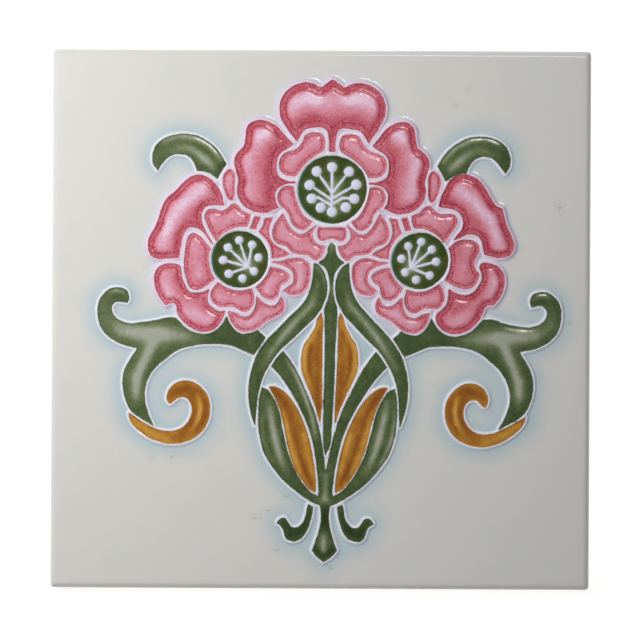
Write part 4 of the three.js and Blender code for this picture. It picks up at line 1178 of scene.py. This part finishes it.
def face_heights(points, marks):
    """The height of the glazed face over the field."""
    depth = marks["depth"]
    cushion = marks["cushion"] * (1 - np.exp(-(depth / CUSHION_REACH) ** 2)) + marks["crown"]
    meniscus = (marks["start"] - POOL_HEIGHT) * np.exp(-depth / MENISCUS)
    lift = STREAK_LIFT * marks["streak"] * np.clip(depth / LIFT_INSET, 0, 1)
    bead = np.clip(marks["bead"] / (STEM_WIDTH / 2), 0, 1)
    stamen = np.maximum(HEAD_LIFT * head_dome(points), STEM_LIFT * np.sqrt(bead))
    pool = POOL_HEIGHT + meniscus + np.where(marks[CENTRE] > 0, stamen, cushion + lift)
    swell = sum(wave(points, *each) for each in FIELD_SWELLS) / len(FIELD_SWELLS)
    field = FIELD_WAVE * swell * (1 - marks["line"]) + LINE_HEIGHT * marks["line"]
    height = np.where(marks["held"] > 0, pool, field) - SPECK_DEPTH * marks["speck_and_shadow"]
    return np.minimum(height, LINE_HEIGHT)


def glaze_foot(points):
    """The height at which the glaze that ran down the sides stops, for points round the tile."""
    angle = np.arctan2(points[:, 1], points[:, 0])
    run = sum(size * np.sin(turns * angle + start) for size, turns, start in GLAZE_RUNS)
    return GLAZE_FOOT + run


def side_rings():
    """The rings under the face's border, highest first, as arrays of x, y, z."""
    rings = []
    for step in range(FACE_EDGE_STEPS - 1, -1, -1):
        angle = step / FACE_EDGE_STEPS * math.pi / 2
        outline = square_outline(FACE_EDGE_RADIUS * (1 - math.cos(angle)))
        height = FIELD_HEIGHT - FACE_EDGE_RADIUS * (1 - math.sin(angle))
        rings.append((outline, np.full(len(outline), height)))
    edge = square_outline(0)
    bare = square_outline(GLAZE_THICKNESS)
    foot = glaze_foot(edge)
    rings.append((edge, foot))
    rings.append((bare, foot - GLAZE_THICKNESS))
    rings.append((bare, np.full(len(bare), BACK_CHAMFER)))
    rings.append((square_outline(BACK_CHAMFER), np.zeros(len(bare))))
    return [np.column_stack(ring) for ring in rings]


def trough_boxes():
    """The mouths of the troughs between the ribs of the back: lowest and highest corner of each."""
    length = TILE_SIDE - 2 * RIM_WIDTH
    width = (length - RIB_COUNT * RIB_WIDTH) / (RIB_COUNT + 1)
    lows = [-length / 2 + i * (width + RIB_WIDTH) for i in range(RIB_COUNT + 1)]
    return [np.array([[-length / 2, low], [length / 2, low + width]]) for low in lows]


def trough_depth(points):
    """How high over the back's plane the clay is pressed in at each point."""
    best = np.zeros(len(points))
    for low, high in trough_boxes():
        gap = np.minimum(points - low, high - points).min(1)
        best = np.maximum(best, np.clip(gap / KEY_DRAFT, 0, 1))
    return KEY_DEPTH * best


def rectangle(low, high):
    """Points along a rectangle's sides, anticlockwise."""
    points = []
    corners = [low, np.array([high[0], low[1]]), high, np.array([low[0], high[1]])]
    for start, end in zip(corners, corners[1:] + corners[:1]):
        steps = math.ceil(math.dist(start, end) / BACK_SPACING)
        points.append(start + (np.arange(steps) / steps)[:, None] * (end - start))
    return np.concatenate(points)


def back_plan():
    """The flat plan of the back: points, the border's first, and triangles."""
    thinner = Thinner()
    edges = loop_edges(thinner.take(square_outline(BACK_CHAMFER)))
    for low, high in trough_boxes():
        edges += loop_edges(thinner.take(rectangle(low, high)))
        edges += loop_edges(thinner.take(rectangle(low + KEY_DRAFT, high - KEY_DRAFT)))
    thinner.take(lattice(BACK_SPACING, TILE_SIDE / 2 - BACK_SPACING), BACK_SPACING / 2)
    return triangulate(thinner.points, edges)


def face_map(points):
    """Where the face lies on the bake's map."""
    return (points / TILE_SIDE + 0.5) * FACE_SHARE + MAP_MARGIN


def back_map(points):
    """Where the back lies on the bake's map: squeezed into a strip above the face."""
    squeeze = np.array([FACE_SHARE, 1 - FACE_SHARE - 3 * MAP_MARGIN])
    return (points / TILE_SIDE + 0.5) * squeeze + [MAP_MARGIN, FACE_SHARE + 2 * MAP_MARGIN]


def side_map(level, levels, count):
    """Where one ring of the sides lies on the bake's map: in a strip to the right of the face."""
    left = FACE_SHARE + 2 * MAP_MARGIN
    across = left + (1 - left - MAP_MARGIN) * level / (levels - 1)
    up = MAP_MARGIN + FACE_SHARE * np.arange(count + 1) / count
    return np.column_stack([np.full(count + 1, across), up])


def add_marks(mesh, marks, count):
    """Stores the face's marks on the mesh's points. The rest of the piece has the field's marks."""
    for name in MARKS:
        plain = -PLAIN_REACH if name in OUTSIDE_MARKS else 0
        values = np.full(len(mesh.vertices), plain, float)
        values[:count] = marks[name]
        attribute = mesh.attributes.new(name, "FLOAT", "POINT")
        attribute.data.foreach_set("value", values.astype(np.float32))


def side_faces(starts, count):
    """The strips from ring to ring, as faces, places on the bake's map and material slots. Each ring has
    count points from its start on."""
    around = np.arange(count)
    beside = (around + 1) % count
    levels = len(starts)
    faces = []
    maps = []
    slots = []
    for level in range(levels - 1):
        upper, lower = starts[level:level + 2]
        high = side_map(level, levels, count)
        low = side_map(level + 1, levels, count)
        faces.append(np.column_stack([upper + around, lower + around, lower + beside]))
        faces.append(np.column_stack([upper + around, lower + beside, upper + beside]))
        maps.append(np.stack([high[:-1], low[:-1], low[1:]], axis=1).reshape(-1, 2))
        maps.append(np.stack([high[:-1], low[1:], high[1:]], axis=1).reshape(-1, 2))
        slots.append(np.full(2 * count, int(level >= BISCUIT_FROM)))
    return faces, maps, slots


def tile_mesh():
    """The whole tile as one closed mesh: glazed face, rounded edge, sides and ribbed back."""
    plan, face = face_plan()
    marks = face_marks(plan)
    rings = side_rings()
    back_points, back = back_plan()
    back = back[:, ::-1]
    corners = [np.column_stack([plan, FIELD_HEIGHT + face_heights(plan, marks)])]
    corners += rings[:-1]
    corners.append(np.column_stack([back_points, trough_depth(back_points)]))
    starts = [0] + list(np.cumsum([len(part) for part in corners]))[:-1]
    faces, maps, slots = side_faces(starts, len(rings[0]))
    faces = [face, *faces, back + starts[-1]]
    maps = [face_map(plan)[face].reshape(-1, 2), *maps, back_map(back_points)[back].reshape(-1, 2)]
    slots = [np.zeros(len(face), int), *slots, np.ones(len(back), int)]

    mesh = bpy.data.meshes.new(PIECE)
    mesh.from_pydata(np.concatenate(corners) * MM, [], np.concatenate(faces).tolist())
    layer = mesh.uv_layers.new(name="OFBake")
    layer.data.foreach_set("uv", np.concatenate(maps).ravel().astype(np.float32))
    mesh.polygons.foreach_set("material_index", np.concatenate(slots).astype(np.int32))
    add_marks(mesh, marks, len(plan))
    mesh.shade_smooth()
    return mesh


class Nodes:
    """A material's node tree with a short call for each kind of node that is used here."""

    def __init__(self, name):
        self.material = bpy.data.materials.new(name)
        self.material.use_nodes = True
        self.tree = self.material.node_tree
        self.shader = self.tree.nodes["Principled BSDF"]
        self.place = self.tree.nodes.new("ShaderNodeTexCoord").outputs["Object"]

    def wire(self, socket, value):
        """Links a socket to another one, or sets its colour or number."""
        if isinstance(value, bpy.types.NodeSocket):
            self.tree.links.new(value, socket)
        elif isinstance(value, tuple):
            socket.default_value = (*value, 1)
        else:
            socket.default_value = value

    def mark(self, name):
        """A number stored on the mesh's points."""
        node = self.tree.nodes.new("ShaderNodeAttribute")
        node.attribute_name = name
        return node.outputs["Fac"]

    def combine(self, operation, a, b):
        """Two numbers put together by a Math node."""
        node = self.tree.nodes.new("ShaderNodeMath")
        node.operation = operation
        self.wire(node.inputs[0], a)
        self.wire(node.inputs[1], b)
        return node.outputs[0]

    def grain(self, size, detail=PLAIN_DETAIL):
        """Noise from about -0.5 to 0.5, its patches about size millimetres wide."""
        node = self.tree.nodes.new("ShaderNodeTexNoise")
        self.wire(node.inputs["Vector"], self.place)
        node.inputs["Scale"].default_value = 1 / (size * MM)
        node.inputs["Detail"].default_value = detail
        return self.combine("SUBTRACT", node.outputs["Fac"], 0.5)

    def shaken(self, value, *grains):
        """A value with grains added, each [size, weight]."""
        for size, weight in grains:
            value = self.combine("ADD", value, self.combine("MULTIPLY", self.grain(size), weight))
        return value

    def step(self, value, low, high):
        """0 below low and 1 above high, smooth between."""
        node = self.tree.nodes.new("ShaderNodeMapRange")
        node.interpolation_type = "SMOOTHSTEP"
        self.wire(node.inputs["Value"], value)
        node.inputs["From Min"].default_value = low
        node.inputs["From Max"].default_value = high
        return node.outputs["Result"]

    def blend(self, factor, below, above):
        """The colour below where the factor is 0, and the one above where it is 1."""
        node = self.tree.nodes.new("ShaderNodeMix")
        node.data_type = "RGBA"
        self.wire(node.inputs["Factor"], factor)
        self.wire(node.inputs[MIX_BELOW], below)
        self.wire(node.inputs[MIX_ABOVE], above)
        return node.outputs[MIX_RESULT]

    def ramp(self, value, stops):
        """The colour at a value, between stops of [position, colour]."""
        node = self.tree.nodes.new("ShaderNodeValToRGB")
        self.wire(node.inputs["Fac"], value)
        elements = node.color_ramp.elements
        for _ in stops[2:]:
            elements.new(0.5)
        for element, (position, colour) in zip(elements, stops):
            element.position = position
            element.color = (*colour, 1)
        return node.outputs["Color"]

    def bump(self, size, detail, depth):
        """Unevenness finer than the mesh, its size and depth in millimetres."""
        node = self.tree.nodes.new("ShaderNodeBump")
        node.inputs["Distance"].default_value = depth * MM
        self.wire(node.inputs["Height"], self.grain(size, detail))
        self.wire(self.shader.inputs["Normal"], node.outputs["Normal"])


def pool_tone(nodes):
    """The pools' tone with its grain, the stipple in the moats and the dots at the shoulders' foot."""
    tone = nodes.shaken(nodes.mark("tone"), *TONE_GRAINS)
    size, weight = STIPPLE
    stipple = nodes.combine("MULTIPLY", nodes.grain(size), nodes.mark("stipple"))
    tone = nodes.combine("ADD", tone, nodes.combine("MULTIPLY", stipple, weight))
    shelf = nodes.mark("shelf")
    outer = nodes.step(shelf, -DOT_WIDTH, 0)
    inner = nodes.step(nodes.combine("MULTIPLY", shelf, -1), -DOT_WIDTH, 0)
    size, weight = DOT_GRAIN
    broken = nodes.step(nodes.combine("MULTIPLY", nodes.grain(size), weight), *DOT_SPAN)
    dots = nodes.combine("MULTIPLY", nodes.combine("MULTIPLY", outer, inner), broken)
    return nodes.combine("SUBTRACT", tone, nodes.combine("MULTIPLY", dots, DOT_DARK))


def with_disc_tints(nodes, pool):
    """The pools with the discs' brown spots, their brown right rims, the painted teal highlight on their
    left rims and their pale stamens.
    """
    size, *span = BROWN_GRAIN
    spots = nodes.step(nodes.grain(size, BROWN_DETAIL), *span)
    pool = nodes.blend(nodes.combine("MULTIPLY", spots, nodes.mark(CENTRE)), pool, DISC_BROWN)
    across = nodes.shaken(nodes.mark("across"), *HALO_GRAINS)
    pool = nodes.blend(nodes.step(across, *RIM_TINT_SPAN), pool, DISC_BROWN)
    # Painted highlight: teal along the left rim of each disc
    leftwards = nodes.combine("MULTIPLY", across, -1)
    pool = nodes.blend(nodes.step(leftwards, *RIM_TINT_SPAN), pool, DISC_TEAL_HIGHLIGHT)
    stamen = nodes.step(nodes.shaken(nodes.mark("bead"), *EDGE_GRAINS), *STAMEN_EDGE)
    return nodes.blend(stamen, pool, STAMEN_COLOUR)


def pool_colour(nodes):
    """The coloured glazes in their pools."""
    tone = pool_tone(nodes)
    pool = nodes.ramp(tone, GLAZE_COLOURS[ROSE])
    for name in (LEAF, OCHRE, CENTRE):
        pool = nodes.blend(nodes.mark(name), pool, nodes.ramp(tone, GLAZE_COLOURS[name]))
    return with_disc_tints(nodes, pool)


def white_colour(nodes):
    """The white glaze: the field with what bled into it, the shade at the lines' foot and the lines."""
    halo = nodes.shaken(nodes.mark("halo"), *HALO_GRAINS)
    field = nodes.blend(halo, FIELD_COLOUR, HALO_COLOUR)
    field = nodes.blend(nodes.mark("mauve"), field, MAUVE_COLOUR)
    foot = nodes.combine("MULTIPLY", nodes.step(nodes.mark("white"), *FOOT_EDGE), FOOT_SHADE)
    field = nodes.blend(foot, field, FOOT_COLOUR)
    line = nodes.blend(nodes.mark(ROSE), LEAF_LINE_COLOUR, ROSE_LINE_COLOUR)
    in_line = nodes.step(nodes.shaken(nodes.mark("white"), *EDGE_GRAINS), *LINE_EDGE)
    return nodes.blend(in_line, field, line)


def glaze_material():
    """The glossy majolica glazes: white field and lines, and the coloured pools between the lines."""
    nodes = Nodes("majolica_glaze")
    in_pool = nodes.step(nodes.shaken(nodes.mark("rim"), *EDGE_GRAINS), *POOL_EDGE)
    glazed = nodes.blend(in_pool, white_colour(nodes), pool_colour(nodes))
    # Brown specks, partly painted shadow
    glazed = nodes.blend(nodes.mark("speck_and_shadow"), glazed, SPECK_AND_SHADOW_COLOUR)
    nodes.wire(nodes.shader.inputs["Base Color"], glazed)
    nodes.shader.inputs["Roughness"].default_value = GLAZE_ROUGHNESS
    nodes.bump(*GLAZE_BUMP)
    return nodes.material


def biscuit_material():
    """The bare buff clay of the lower sides and the back."""
    nodes = Nodes("biscuit")
    patches = nodes.shaken(CLAY_TONE, *CLAY_GRAINS)
    clay = nodes.blend(patches, BISCUIT_COLOUR, BISCUIT_SHADE)
    nodes.wire(nodes.shader.inputs["Base Color"], clay)
    nodes.shader.inputs["Roughness"].default_value = BISCUIT_ROUGHNESS
    nodes.bump(*BISCUIT_BUMP)
    return nodes.material


def floor_material():
    """A pale sheet, bright enough to read as white."""
    nodes = Nodes("pale_floor")
    nodes.wire(nodes.shader.inputs["Base Color"], FLOOR_COLOUR)
    nodes.wire(nodes.shader.inputs["Emission Color"], FLOOR_COLOUR)
    nodes.shader.inputs["Emission Strength"].default_value = FLOOR_GLOW
    nodes.shader.inputs["Roughness"].default_value = FLOOR_ROUGHNESS
    return nodes.material


def add_object(name, data):
    """A new object of the scene."""
    added = bpy.data.objects.new(name, data)
    bpy.context.scene.collection.objects.link(added)
    return added


def add_tile():
    """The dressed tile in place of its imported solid."""
    tile = add_object(PIECE, tile_mesh())
    tile.data.materials.append(glaze_material())
    tile.data.materials.append(biscuit_material())
    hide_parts("tile")
    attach(tile, "root")


def add_floor():
    """The sheet that the tile lies on."""
    mesh = bpy.data.meshes.new("floor")
    reach = FLOOR_REACH * MM
    corners = [(-reach, -reach, 0), (reach, -reach, 0), (reach, reach, 0), (-reach, reach, 0)]
    mesh.from_pydata(corners, [], [(0, 1, 2, 3)])
    mesh.materials.append(floor_material())
    floor = add_object("floor", mesh)


def add_lamp(name, place, aim, size, beam, power, reflected):
    """A soft lamp at a place, aimed at a point of the tile. Lengths in millimetres, power in watts."""
    data = bpy.data.lights.new(name, "AREA")
    data.shape = "RECTANGLE"
    data.size, data.size_y = (side * MM for side in size)
    data.spread = math.radians(beam)
    data.energy = power
    lamp = add_object(name, data)
    lamp.visible_glossy = reflected
    lamp.visible_camera = False
    lamp.location = Vector(place) * MM
    lamp.rotation_euler = (Vector(place) - Vector(aim)).to_track_quat("Z", "Y").to_euler()


def add_surroundings():
    """A grey room, which fills the shade."""
    world = bpy.data.worlds.new("grey_room")
    world.use_nodes = True
    background = world.node_tree.nodes["Background"]
    background.inputs["Color"].default_value = ROOM_COLOUR
    background.inputs["Strength"].default_value = ROOM_LIGHT
    bpy.context.scene.world = world


def add_camera():
    """The camera straight above the tile, turned a little as in the photograph."""
    data = bpy.data.cameras.new("camera")
    data.sensor_width = SENSOR
    data.lens = SENSOR * CAMERA_HEIGHT / VIEW_WIDTH
    data.clip_end = VIEW_DEPTH * MM
    camera = add_object("camera", data)
    camera.location = Vector((*VIEW_MIDDLE, FIELD_HEIGHT + CAMERA_HEIGHT)) * MM
    camera.rotation_euler = (0, 0, VIEW_TURN)
    bpy.context.scene.camera = camera


add_tile()
add_floor()
for lamp in LAMPS:
    add_lamp(*lamp)
add_surroundings()
add_camera()
bpy.context.scene.view_settings.view_transform = "Standard"
